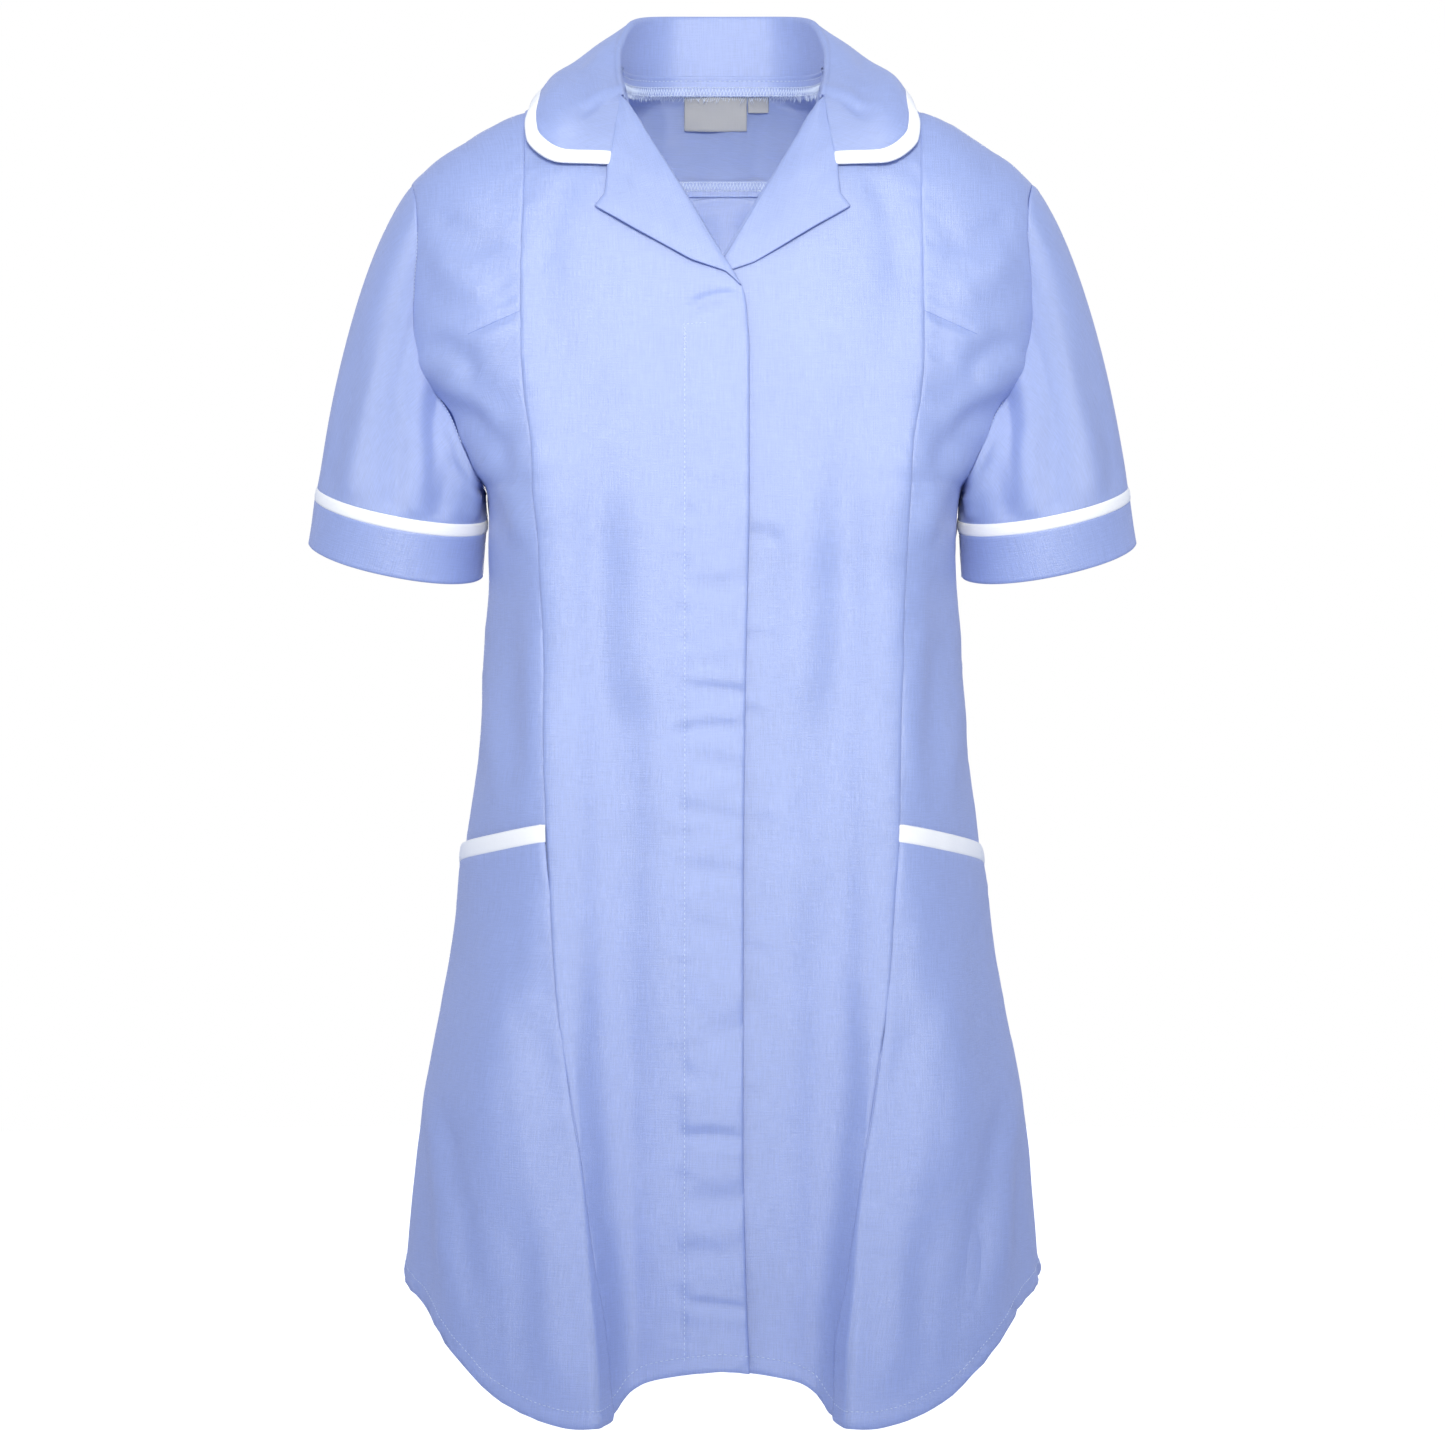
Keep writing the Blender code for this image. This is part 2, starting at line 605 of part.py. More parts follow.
def collar_section(station):
    """Across the collar at one station: neck seam, stand, roll, fall and outer edge."""
    row = {}
    for name, column in COLLAR.items():
        other_half = -column[1] if name.endswith("_x") else column[1]
        row[name] = curve(np.arange(-1, len(column)), np.append(other_half, column))(station)
    neck, roll, edge = (np.array([row[part + "_x"], row[part + "_y"], row[part + "_z"]])
                        for part in ("neck", "roll", "edge"))
    away = np.array([roll[0], roll[1], 0])
    away = away / np.linalg.norm(away)
    chord = edge - roll
    square = away - chord * (away @ chord) / (chord @ chord)
    square = square / np.linalg.norm(square)
    stand = [neck, neck + .55 * (roll - neck) - .3 * away]
    turn_in = roll - ROLL * .6 * away - np.array([0, 0, ROLL])
    turn_out = roll + ROLL * .9 * away - np.array([0, 0, ROLL * .6])
    middle = (turn_out + edge) / 2 + 2 * row["bulge"] * square
    fall = [(1 - t) ** 2 * turn_out + 2 * t * (1 - t) * middle + t * t * edge for t in FALL_SHARES]
    return np.array(stand + [turn_in, roll, turn_out] + fall + [edge])


def make_collar(blue, white):
    points = np.array([collar_section(station) for station in COLLAR_STATIONS]).transpose(1, 0, 2)
    gorge = gorge_points(fall_shares())
    flat = np.stack([turn_at(gorge[:, 0], gorge[:, 1]), gorge[:, 1]], axis=-1)
    points[-len(gorge):, -1] = cloth(flat, gorge[:, 2])
    points[:, 0, 0] = 0
    ways = points[-2] - points[-1]
    ways = ways / np.linalg.norm(ways, axis=1, keepdims=True)
    inner = points[-1] + COLLAR_TRIM * ways
    points = parted(points, right=SEAM_GAP)
    inner[-1] = points[-1, -1] + COLLAR_TRIM * ways[-1]
    collar = np.concatenate([points[:-1], inner[None]])
    binding = np.stack([inner, points[-1]])
    sheet("collar", parted(collar, bottom=SEAM_GAP)[:, ::-1], COLLAR_WALL, blue, mirrored=True)
    binding = parted(binding, top=SEAM_GAP)[:, ::-1]
    sheet("collar_trim", binding, TRIM_WALL, white, mirrored=True)


def ring_points(ring, count):
    """One ring of the sleeve, from its outer side round the front."""
    outer = np.array([RINGS["outer_x"][ring], 0, RINGS["outer_z"][ring]])
    inner = np.array([RINGS["inner_x"][ring], 0, RINGS["inner_z"][ring]])
    ahead = np.array([0, -RINGS["reach"][ring], -RINGS["drop"][ring]])
    angle = np.linspace(0, 2 * np.pi, count, endpoint=False)[:, None]
    return (outer + inner) / 2 + np.cos(angle) * (outer - inner) / 2 + np.sin(angle) * ahead


def make_sleeves(blue, white):
    before, behind = armhole(ARMHOLE_FRONT, False), armhole(ARMHOLE_BACK, True)
    places = np.concatenate([before, behind[-2:0:-1]])
    count = len(places)
    rings = [ring_points(ring, count) for ring in range(3)]
    angle = np.linspace(0, 2 * np.pi, count, endpoint=False)[:, None]
    top = np.cos(angle / 2) ** 2
    loop = cloth(places, ARMHOLE_STEP * (1 - .6 * top[:, 0] ** 2))
    side = np.array(SLEEVE_SIDE) * np.concatenate(
        [1 - np.abs(np.cos(angle)) * .8, -np.sin(angle), np.ones_like(angle)], axis=1)
    leave = top ** 3 * np.array(SLEEVE_HEAD) + (1 - top ** 3) * side
    leave = leave / np.linalg.norm(leave, axis=1, keepdims=True)
    arrive = rings[2] - rings[0]
    arrive = arrive / np.linalg.norm(arrive, axis=1, keepdims=True)
    span = SLEEVE_PULL * np.linalg.norm(rings[0] - loop, axis=1, keepdims=True)
    rows = []
    for t in np.linspace(0, 1, SLEEVE_ROWS + 1):
        rows.append((1 + 2 * t) * (1 - t) ** 2 * loop + t * (1 - t) ** 2 * span * leave
                    + t * t * (3 - 2 * t) * rings[0] + t * t * (t - 1) * span * arrive)
    sleeve = np.array(rows)
    trim = np.array(rings[:2])
    cuff = np.array([rings[1] + (rings[2] - rings[1]) * t for t in np.linspace(0, 1, CUFF_ROWS + 1)])
    sleeve = parted(sleeve, top=SEAM_GAP, bottom=SEAM_GAP)[:, ::-1]
    pair("sleeve", sleeve, WALL, blue, ring=True)
    trim = parted(trim, top=SEAM_GAP, bottom=SEAM_GAP)[:, ::-1]
    pair("cuff_trim", trim, TRIM_WALL, white, ring=True)
    pair("cuff", parted(cuff, top=SEAM_GAP)[:, ::-1], WALL, blue, ring=True)


def make_labels(grey):
    """Two bare labels that hang from the neck seam inside the back."""
    for name, across, width, foot in zip(("label_main", "label_size"), *LABELS.values()):
        places = []
        for down in (0, .5, 1):
            height = LABEL_TOP + (foot - LABEL_TOP) * down
            ends = [turn_at(across + side * width, height, True) for side in (.5, .17, -.17, -.5)]
            places.append([(turn % 360, height) for turn in ends])
        places = np.array(places)
        sheet(name, cloth(places, np.full(places.shape[:2], -LABEL_STANDS_OFF)), LABEL_WALL, grey)


def build_tunic():
    for piece in list(bpy.data.objects):
        bpy.data.objects.remove(piece, do_unlink=True)
    collection = bpy.data.collections.get(TUNIC) or bpy.data.collections.new(TUNIC)
    if collection.name not in bpy.context.scene.collection.children:
        bpy.context.scene.collection.children.link(collection)
    blue = finish_of("tunic_cloth", CLOTH_BLUE, .75)
    white = finish_of("white_binding", BINDING_WHITE, .7)
    grey = finish_of("grey_label", LABEL_GREY, .6)
    make_fronts(blue)
    make_fly_facing(blue)
    make_back(blue)
    make_pockets(blue, white)
    make_lapels(blue)
    make_collar(blue, white)
    make_sleeves(blue, white)
    make_labels(grey)


build_tunic()
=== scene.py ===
import bpy
import numpy as np
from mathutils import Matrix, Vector


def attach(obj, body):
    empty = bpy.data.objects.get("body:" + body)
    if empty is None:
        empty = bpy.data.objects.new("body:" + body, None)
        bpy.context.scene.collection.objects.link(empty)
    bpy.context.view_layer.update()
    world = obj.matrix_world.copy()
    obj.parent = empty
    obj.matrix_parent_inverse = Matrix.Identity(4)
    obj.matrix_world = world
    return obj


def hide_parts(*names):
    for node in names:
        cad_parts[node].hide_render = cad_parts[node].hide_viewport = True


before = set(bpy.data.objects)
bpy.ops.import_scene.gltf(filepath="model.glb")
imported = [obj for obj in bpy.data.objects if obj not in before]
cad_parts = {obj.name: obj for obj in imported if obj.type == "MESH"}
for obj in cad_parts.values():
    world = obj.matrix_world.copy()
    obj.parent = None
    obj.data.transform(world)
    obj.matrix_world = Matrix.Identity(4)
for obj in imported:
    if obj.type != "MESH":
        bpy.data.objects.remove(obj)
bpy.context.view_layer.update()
mm = 0.001

# The grids: rows from the shoulder to the underarm and from there to the hem, counted in the
# construction's own steps, so that every panel's rows meet its neighbour's
rows = {
    "topSteps": 14,      # steps from the shoulder to the underarm
    "neckSteps": 7,      # those beside the open neck
    "yokeSteps": 3,      # armhole steps on the yoke
    "skirtSteps": 17,    # steps from the underarm to the hem
    "finePerTop": 7,     # grid rows in each step
    "finePerSkirt": 10,
    "columns": 46,       # grid columns across a panel
}
edges = {"pinchDepth": .34, "pinchWidth": .9, "puckerDepth": .85, "puckerPitch": 6, "puckerReach": 9}
cloth = {"wall": .8, "outside": .55}      # mm: one layer, and how far its face stands off the middle
underarm, topFoot, neckFoot, yokeFoot = -259.5, -292.0, -137.0, -63.0
sideNames = {1: "left", -1: "right"}
flip = np.array([-1, 1, 1])               # to the other side of the centre line


def table(names, *entries):
    return dict(zip(names.split(), np.array(entries, float).T))


def hermite(t, start, end, leave, arrive):
    # A cubic from start to end, with its slopes there
    return ((1 + 2 * t) * (1 - t) ** 2 * start + t * (1 - t) ** 2 * leave
            + t * t * (3 - 2 * t) * end + t * t * (t - 1) * arrive)


def smoothLine(along, values):
    # A cubic through the values that never overshoots them
    order = np.argsort(along)
    x, y = np.asarray(along, float)[order], np.asarray(values, float)[order]
    step = np.diff(x)
    rise = np.diff(y) / step
    slope = np.zeros_like(x)
    slope[0], slope[-1] = rise[0], rise[-1]
    for i in range(1, len(x) - 1):
        if rise[i - 1] * rise[i] > 0:
            before, after = 2 * step[i] + step[i - 1], step[i] + 2 * step[i - 1]
            slope[i] = (before + after) / (before / rise[i - 1] + after / rise[i])

    def at(value):
        value = np.asarray(value, float)
        i = np.clip(np.searchsorted(x, value) - 1, 0, len(x) - 2)
        return hermite((value - x[i]) / step[i], y[i], y[i + 1], step[i] * slope[i], step[i] * slope[i + 1])

    return at


def linesOf(form):
    # Smooth lines of a table's other columns along its first
    along, *columns = form.values()
    return [smoothLine(along, column) for column in columns]


def ease(t):
    t = np.clip(t, 0, 1)
    return t * t * (3 - 2 * t)


def bell(away, width):
    # A soft bump of height 1
    return np.exp(-(away / width) ** 2)


def stacked(*columns):
    # Points from their coordinates
    return np.stack(np.broadcast_arrays(*columns), axis=-1)


def rounding(count):
    # How a binding's rows bulge out, from edge to edge
    return np.sin(np.pi * np.linspace(0, 1, count)) ** .6


def raisedBand(band, lift, bulge):
    # A binding's grid, moved out and rounded
    return band + gridWays(band) * (lift + bulge * rounding(len(band)))[:, None, None]


def unit(ways):
    return ways / (np.linalg.norm(ways, axis=-1, keepdims=True) + 1e-12)


def runLength(points):
    return np.concatenate([[0], np.cumsum(np.linalg.norm(np.diff(points, axis=0), axis=1))])


def softNoise(u, v, seed, ring=0):
    # Smooth noise from -1 to 1 on a lattice of one unit
    size = 512
    lattice = np.random.RandomState(seed).uniform(-1, 1, (size, size))
    iu, iv = np.floor(u).astype(int), np.floor(v).astype(int)
    fu, fv = ease(u - iu), ease(v - iv)
    nextU = (iu + 1) % ring if ring else iu + 1
    iu = iu % ring if ring else iu
    a, b = lattice[iu % size, iv % size], lattice[nextU % size, iv % size]
    c, d = lattice[iu % size, (iv + 1) % size], lattice[nextU % size, (iv + 1) % size]
    return (a * (1 - fu) + b * fu) * (1 - fv) + (c * (1 - fu) + d * fu) * fv


# The body that the cloth hangs on, at each height: half width, depth ahead of the side line and
# behind it, and how square the section is
bodyForm = table(
    "height width front back square",
    (10, 60, 46, 63, 2.5),
    (0, 64, 50, 66, 2.5),
    (-8, 92, 54, 70, 2.5),
    (-17, 120, 60, 74, 2.5),
    (-24, 140, 64, 77, 2.5),
    (-39, 166, 72, 83, 2.5),
    (-54, 187, 80, 88, 2.5),
    (-70, 201, 88, 92, 2.5),
    (-90, 206, 96, 97, 2.5),
    (-130, 206, 109, 103, 2.5),
    (-160, 204, 117, 105, 2.5),
    (-184, 199, 121, 105, 2.5),
    (-206, 182, 125, 104, 2.5),
    (-230, 170, 127, 102, 2.7),
    (-250, 158, 128, 99, 3.0),
    (-259.5, 150, 128, 98, 3.15),
    (-330, 147.5, 126, 93, 2.7),
    (-394, 151, 127, 94, 2.45),
    (-470, 161, 133, 101, 2.4),
    (-547, 170, 143, 111, 2.3),
    (-586, 177, 150, 117, 2.3),
    (-662, 190, 166, 129, 2.3),
    (-739, 198.5, 182, 141, 2.3),
    (-800, 201, 192, 149, 2.3),
    (-850, 202, 198, 154, 2.3),
)
halfWidth, frontDepth, backDepth, squareness = linesOf(bodyForm)

# The sunk middle of the front, between its two upright ridges
hollow = table(
    "height ridge depth run crisp",
    (-120, 100, 0, 60, 0),
    (-260, 96, 4, 52, 0),
    (-400, 95, 7, 48, 0),
    (-520, 94, 10, 44, .1),
    (-600, 93, 15, 40, .3),
    (-680, 87, 25, 34, .6),
    (-740, 82, 33, 30, .8),
    (-800, 77, 40, 26, .9),
    (-850, 75, 44, 24, .9),
)
ridgeAt, hollowDepth, hollowRun, hollowCrisp = linesOf(hollow)

# Waves of the flared skirt, fullest at the hem
flutes = table(
    "turn spread rise",
    (52, 8, 5),
    (64, 7, -4),
    (108, 9, -6),
    (124, 10, 9),
    (141, 8, -9),
    (157, 9, 9),
    (180, 11, -9),
)
flutesFrom, fluteGrowth = -430, 1.5

hemLine = table(
    "turn height",
    (0, -803.5), (5, -805), (10, -807.5), (14, -811), (16.5, -817), (19, -828), (22, -833.5),
    (26, -834.5), (31, -832), (36, -827), (41, -820), (49, -800), (58, -781), (67, -769),
    (76, -762), (90, -758), (102, -761), (114, -772), (127, -789), (142, -803), (158, -812),
    (180, -816),
)
hemHeight, = linesOf(hemLine)
lowestHem = hemLine["height"].min()

# Seams: distance across from the centre line at each height
princessSeam = table(
    "height across",
    (-16, 125), (-70, 124.5), (-146, 125), (-180, 124), (-205, 121), (-236, 115), (-262, 112.5),
    (-295, 110), (-357, 107), (-475, 105), (-518, 102.5), (-578, 98.5), (-639, 92),
    (-686, 85), (-740, 78), (-790, 70), (-831, 68.5),
)
frontArmhole = table(
    "height across",
    (-66, 197), (-80, 193.5), (-103, 192), (-133, 194), (-153, 194.5), (-169, 192),
    (-184, 188), (-200, 180), (-213, 171.5), (-233, 162.5), (-251, 154.5), (underarm, 150),
)
backArmhole = table(
    "height across",
    (-66, 197), (-84, 190), (-103, 187), (-133, 186), (-160, 186), (-184, 182), (-200, 175),
    (-213, 168), (-233, 160.5), (-251, 154), (underarm, 150),
)
neckSide = ((0, 64), (-4, 68), (-10, 69.5), (-15, 67), (-22, 57.5), (-42, 45.5), (-83, 20.2), (-119, -.9))
rightEdge = table(
    "height across", *neckSide,
    (-130, -7.7), (-138, -12), (-147, -14.5), (-160, -15.3), (-172, -16.3), (-262, -16.3),
    (-308, -15.7), (-363, -14.4), (-517, -12.6), (-667, -12.4), (-727, -13.6), (-774, -15),
    (-801, -16.5),
)
leftEdge = table("height across", *neckSide, (-138, -12), (-150, -19), (-172, -22), (-262, -22), (-803, -22))
backNeck = table("height across", (0, 64), (1, 61), (3, 50), (5, 29), (6, 0))


def foldedTurn(turn):
    return np.abs((np.asarray(turn, float) + 180) % 360 - 180)


def bodyPoint(turn, height):
    # A point of the cloth at a turn round the body (0 is the front, 90 the wearer's left) and a height
    turn, height = np.broadcast_arrays(np.asarray(turn, float), np.asarray(height, float))
    sine, cosine = np.sin(np.radians(turn)), np.cos(np.radians(turn))
    depth = np.where(cosine > 0, frontDepth(height), backDepth(height))
    power = squareness(height)
    reach = ((np.abs(sine) / halfWidth(height)) ** power
             + (np.abs(cosine) / depth) ** power) ** (-1 / power)
    down = np.clip((flutesFrom - height) / (flutesFrom - lowestHem), 0, 1)
    for centre, spread, rise in zip(flutes["turn"], flutes["spread"], flutes["rise"]):
        reach = reach + rise * down ** fluteGrowth * bell(foldedTurn(turn) - centre, spread)
    x, y = reach * sine, -reach * cosine
    inside = np.clip((ridgeAt(height) - np.abs(x)) / hollowRun(height), 0, 1)
    crisp = hollowCrisp(height)
    sunk = crisp * inside * (2 - inside) + (1 - crisp) * ease(inside)
    return stacked(x, y + np.where(cosine > 0, hollowDepth(height) * sunk, 0), height)


def wayOut(turn, height):
    sideways = bodyPoint(np.asarray(turn) + .5, height) - bodyPoint(np.asarray(turn) - .5, height)
    upward = bodyPoint(turn, np.asarray(height) + 1) - bodyPoint(turn, np.asarray(height) - 1)
    return unit(np.cross(sideways, upward))


def onBody(places, lift=0.0):
    turn, height = places[..., 0], places[..., 1]
    return bodyPoint(turn, height) + np.asarray(lift)[..., None] * wayOut(turn, height)


def turnAt(across, height, behind=False):
    share = np.clip(np.abs(across) / halfWidth(height), 0, 1)
    power = squareness(height)
    depth = backDepth(height) if behind else frontDepth(height)
    ahead = depth * (1 - share ** power) ** (1 / power)
    turn = np.where(share >= 1, 90, np.degrees(np.arctan2(np.abs(across), ahead)))
    return np.where(np.asarray(across) < 0, -1, 1) * (180 - turn if behind else turn)


# Where each grid row lies, counted in steps
topRows = np.linspace(0, rows["topSteps"], rows["topSteps"] * rows["finePerTop"] + 1)
skirtRows = rows["skirtSteps"] * np.linspace(0, 1, rows["skirtSteps"] * rows["finePerSkirt"] + 1)[1:]
steps = np.concatenate([topRows, rows["topSteps"] + skirtRows])


def firstRow(step):
    return int(np.argmin(np.abs(steps - step)))


def seamPlaces(seam, heights, behind=False):
    acrossAt, = linesOf(seam)
    return stacked(turnAt(acrossAt(heights), heights, behind), heights)


def evenly(places, shares):
    # Places at shares of the way along a line
    length = runLength(bodyPoint(*places.T))
    return stacked(*(np.interp(shares * length[-1], length, column) for column in places.T))


def armhole(seam, behind, at):
    places = seamPlaces(seam, np.linspace(seam["height"][0], underarm, 400), behind)
    places[0, 0] = places[-1, 0] = 90
    return evenly(places, at / rows["topSteps"])


def outerSeam(seam, behind=False):
    # Down the armhole, and on down the side seam
    beside = steps <= rows["topSteps"]
    share = (steps[~beside] - rows["topSteps"]) / rows["skirtSteps"]
    side = stacked(90.0, underarm + (hemHeight(90.0) - underarm) * share)
    return np.concatenate([armhole(seam, behind, steps[beside]), side])


def heightsDown(at, startHeight, startStep, foot):
    # Heights at steps, down to the top rows' foot and on to the hem
    top = rows["topSteps"]
    upper = startHeight + (topFoot - startHeight) * (at - startStep) / (top - startStep)
    lower = topFoot + (foot - topFoot) * (at - top) / rows["skirtSteps"]
    return np.where(at <= top, upper, lower)


def downTo(seam, at, startHeight, startStep):
    return seamPlaces(seam, heightsDown(at, startHeight, startStep, seam["height"].min()))


def princessPlaces():
    places = downTo(princessSeam, steps, princessSeam["height"][0], 0)
    places[0, 0] = 90
    return places


def freeEdge(seam):
    neck = seamPlaces(seam, np.concatenate([np.linspace(0, -13.5, 60), np.linspace(-14, neckFoot, 200)]))
    neck[0, 0] = 90
    beside = steps <= rows["neckSteps"]
    upper = evenly(neck, steps[beside] / rows["neckSteps"])
    return np.concatenate([upper, downTo(seam, steps[~beside], neckFoot, rows["neckSteps"])])


def between(left, right, shares, at=steps, top=None, bottom=None):
    # Places over a panel between two long edges, bent to its ends
    shares = np.broadcast_to(np.asarray(shares, float), (len(left), np.shape(shares)[-1]))[..., None]
    places = (1 - shares) * left[:, None] + shares * right[:, None]
    down = ((at - at[0]) / (at[-1] - at[0]))[:, None, None]
    if top is not None:
        places = places + (1 - down) * (top - places[0])
    if bottom is not None:
        places = places + down * (bottom - places[-1])
    return places


def alongHem(left, right, shares):
    turns = left[-1, 0] + (right[-1, 0] - left[-1, 0]) * np.asarray(shares)
    return stacked(turns, hemHeight(foldedTurn(turns)))


def columnShares(count=rows["columns"], crowd=.35):
    # Columns that lie closer together near both seams
    t = np.linspace(0, 1, count + 1)
    return t - crowd * np.sin(2 * np.pi * t) / (2 * np.pi)


def frontPlaces(edge):
    left, right = freeEdge(edge), princessPlaces()
    shares = columnShares()
    return between(left, right, shares, bottom=alongHem(left, right, shares))


# A side front's first columns end at the lower front's ridge
ridgeColumns = {"count": 8, "share": .15, "least": .02, "plainAbove": -600, "foot": -760, "run": 160}


def sideFrontPlaces():
    left, right = princessPlaces(), outerSeam(frontArmhole)
    heights = left[:, 1]
    ridge = (turnAt(ridgeAt(heights), heights) - left[:, 0]) / (right[:, 0] - left[:, 0] + 1e-9)
    share, least = ridgeColumns["share"], ridgeColumns["least"]
    room = least + (share - least) * ease((heights - ridgeColumns["foot"]) / ridgeColumns["run"])
    first = np.where(heights > ridgeColumns["plainAbove"], share, np.maximum(ridge, room))[:, None]
    near = first * np.linspace(0, 1, ridgeColumns["count"])
    far = first + (1 - first) * columnShares(rows["columns"] - ridgeColumns["count"])
    shares = np.concatenate([near[:, :-1], far], axis=1)
    return between(left, right, shares, bottom=alongHem(left, right, shares[-1]))


# Creases, each a soft trough (depth below 0) or ridge along a line. Front and back creases are given
# by distance across (x) and height, in mm
def creased(points, entries):
    lift = np.zeros(points.shape[:2])
    u, v = points[..., 0], points[..., 2]
    for x0, z0, x1, z1, bend, width, depth in entries:
        run = np.array([x1 - x0, z1 - z0], float)
        length = np.hypot(*run)
        along = ((u - x0) * run[0] + (v - z0) * run[1]) / length ** 2
        aside = ((u - x0) * -run[1] + (v - z0) * run[0]) / length - bend * 4 * along * (1 - along)
        fade = ease(along / .3 + .15) * ease((1 - along) / .3 + .15) * (along > -.05) * (along < 1.05)
        lift = lift + depth * fade * (bell(aside, width) - .45 * bell(aside - 1.9 * width, width))
    return lift


def grainLie(grid):
    # UV of a hung panel: across the cloth from the front's middle, and straight down
    away = edgeDistances(grid)
    return np.stack([away["left"] + grid[:, :1, 0], grid[..., 2]], axis=-1)


def edgeDistances(points):
    # How far each grid point is from the grid's four edges, along the cloth
    across = np.linalg.norm(np.diff(points, axis=1), axis=2)
    down = np.linalg.norm(np.diff(points, axis=0), axis=2)
    left = np.concatenate([np.zeros((len(points), 1)), np.cumsum(across, axis=1)], axis=1)
    top = np.concatenate([np.zeros((1, points.shape[1])), np.cumsum(down, axis=0)], axis=0)
    return {"left": left, "right": left[:, -1:] - left, "top": top, "bottom": top[-1:] - top}


# Soft ridges down both princess seams, from the bust to the hips, and the flatter cloth between them
bustRidge = {"rise": 6.2, "reach": 27, "from": -150, "full": -270, "ease": -560, "to": -700}


def seamRidge(points):
    x, z = np.abs(points[..., 0]), points[..., 2]
    seamAcross, = linesOf(princessSeam)
    strength = ease((bustRidge["from"] - z) / (bustRidge["from"] - bustRidge["full"]))
    strength = strength * ease((z - bustRidge["to"]) / (bustRidge["ease"] - bustRidge["to"]))
    return bustRidge["rise"] * strength * bell(x - seamAcross(z), bustRidge["reach"]) * (points[..., 1] < 0)


def pinched(away, sides, seed, depth=edges["pinchDepth"]):
    # Cloth drawn in at its seams, with small puckers beside them
    lift = np.zeros_like(away["left"])
    for index, side in enumerate(sides):
        d = away[side]
        alongSeam = away["top"] if side in ("left", "right") else away["left"]
        pucker = softNoise(alongSeam / edges["puckerPitch"], index * 7 + .5, seed)
        lift = lift - depth * bell(d, edges["pinchWidth"])
        lift = lift + edges["puckerDepth"] * pucker * np.exp(-d / edges["puckerReach"]) * ease(d / 2)
    return lift


def rumple(points, seed, size=(38, 60), depth=1.25):
    # Broad unevenness of hung cloth
    u = points[..., 0] * .8 + points[..., 1] * .6
    wide = softNoise(u / size[0] + 40, points[..., 2] / size[1] + 60, seed)
    small = softNoise(u / (size[0] * .4) + 20, points[..., 2] / (size[1] * .45) + 90, seed + 1)
    return depth * (wide + .4 * small)


# Materials
def addNode(tree, kind, settings=None, **inputs):
    node = tree.nodes.new(kind)
    for key, value in (settings or {}).items():
        setattr(node, key, value)
    for key, value in inputs.items():
        socket = node.inputs[int(key[1:])] if key[0] == "i" and key[1:].isdigit() else node.inputs[key]
        if isinstance(value, bpy.types.NodeSocket):
            tree.links.new(value, socket)
        else:
            socket.default_value = value
    return node


def mathNode(tree, operation, a, b=0.0):
    # a Math node's output, of sockets or plain numbers
    return addNode(tree, "ShaderNodeMath", {"operation": operation}, i0=a, i1=b).outputs[0]


def sumsOf(tree):
    # The tree's own products and sums
    def times(a, b):
        return mathNode(tree, "MULTIPLY", a, b)

    def plus(a, b):
        return mathNode(tree, "ADD", a, b)

    return times, plus


def addSockets(tree, way, **kinds):
    for name, kind in kinds.items():
        tree.interface.new_socket(name, in_out=way, socket_type="NodeSocket" + kind)


def buildWeaveGroup():
    # Warp and weft threads of uneven thickness, from a UV map in metres
    tree = bpy.data.node_groups.new("wovenThreads", "ShaderNodeTree")
    addSockets(tree, "INPUT", UV="Vector", Colour="Color", Threads="Float", Streaks="Float", Mottle="Float",
               Rough="Float")
    addSockets(tree, "OUTPUT", Colour="Color", Roughness="Float", Height="Float")
    given, result = tree.nodes.new("NodeGroupInput").outputs, tree.nodes.new("NodeGroupOutput").inputs
    times, plus = sumsOf(tree)
    u, v = addNode(tree, "ShaderNodeSeparateXYZ", i0=given["UV"]).outputs[:2]

    def streaks(alongU, alongV, detail=2.0):
        stretched = addNode(tree, "ShaderNodeCombineXYZ", i0=times(u, alongU), i1=times(v, alongV))
        noise = addNode(tree, "ShaderNodeTexNoise", Vector=stretched.outputs[0], Scale=1.0, Detail=detail,
                        Roughness=.6)
        return plus(noise.outputs["Fac"], -.5)

    # fine lines along the warp and the weft, and a broad mottle
    lines = plus(times(streaks(1500, 60), 1.3), streaks(80, 1400))
    shade = plus(times(lines, given["Streaks"]), times(streaks(22, 16, 3.0), given["Mottle"]))
    scaled = addNode(tree, "ShaderNodeVectorMath", {"operation": "SCALE"}, i0=given["Colour"],
                     Scale=plus(times(shade, 2.0), 1.0))
    warp, weft = (mathNode(tree, "SINE", times(along, times(given["Threads"], 6.283))) for along in (u, v))
    tree.links.new(scaled.outputs[0], result["Colour"])
    tree.links.new(plus(given["Rough"], times(lines, -.12)), result["Roughness"])
    tree.links.new(plus(times(times(warp, weft), .25), lines), result["Height"])
    return tree


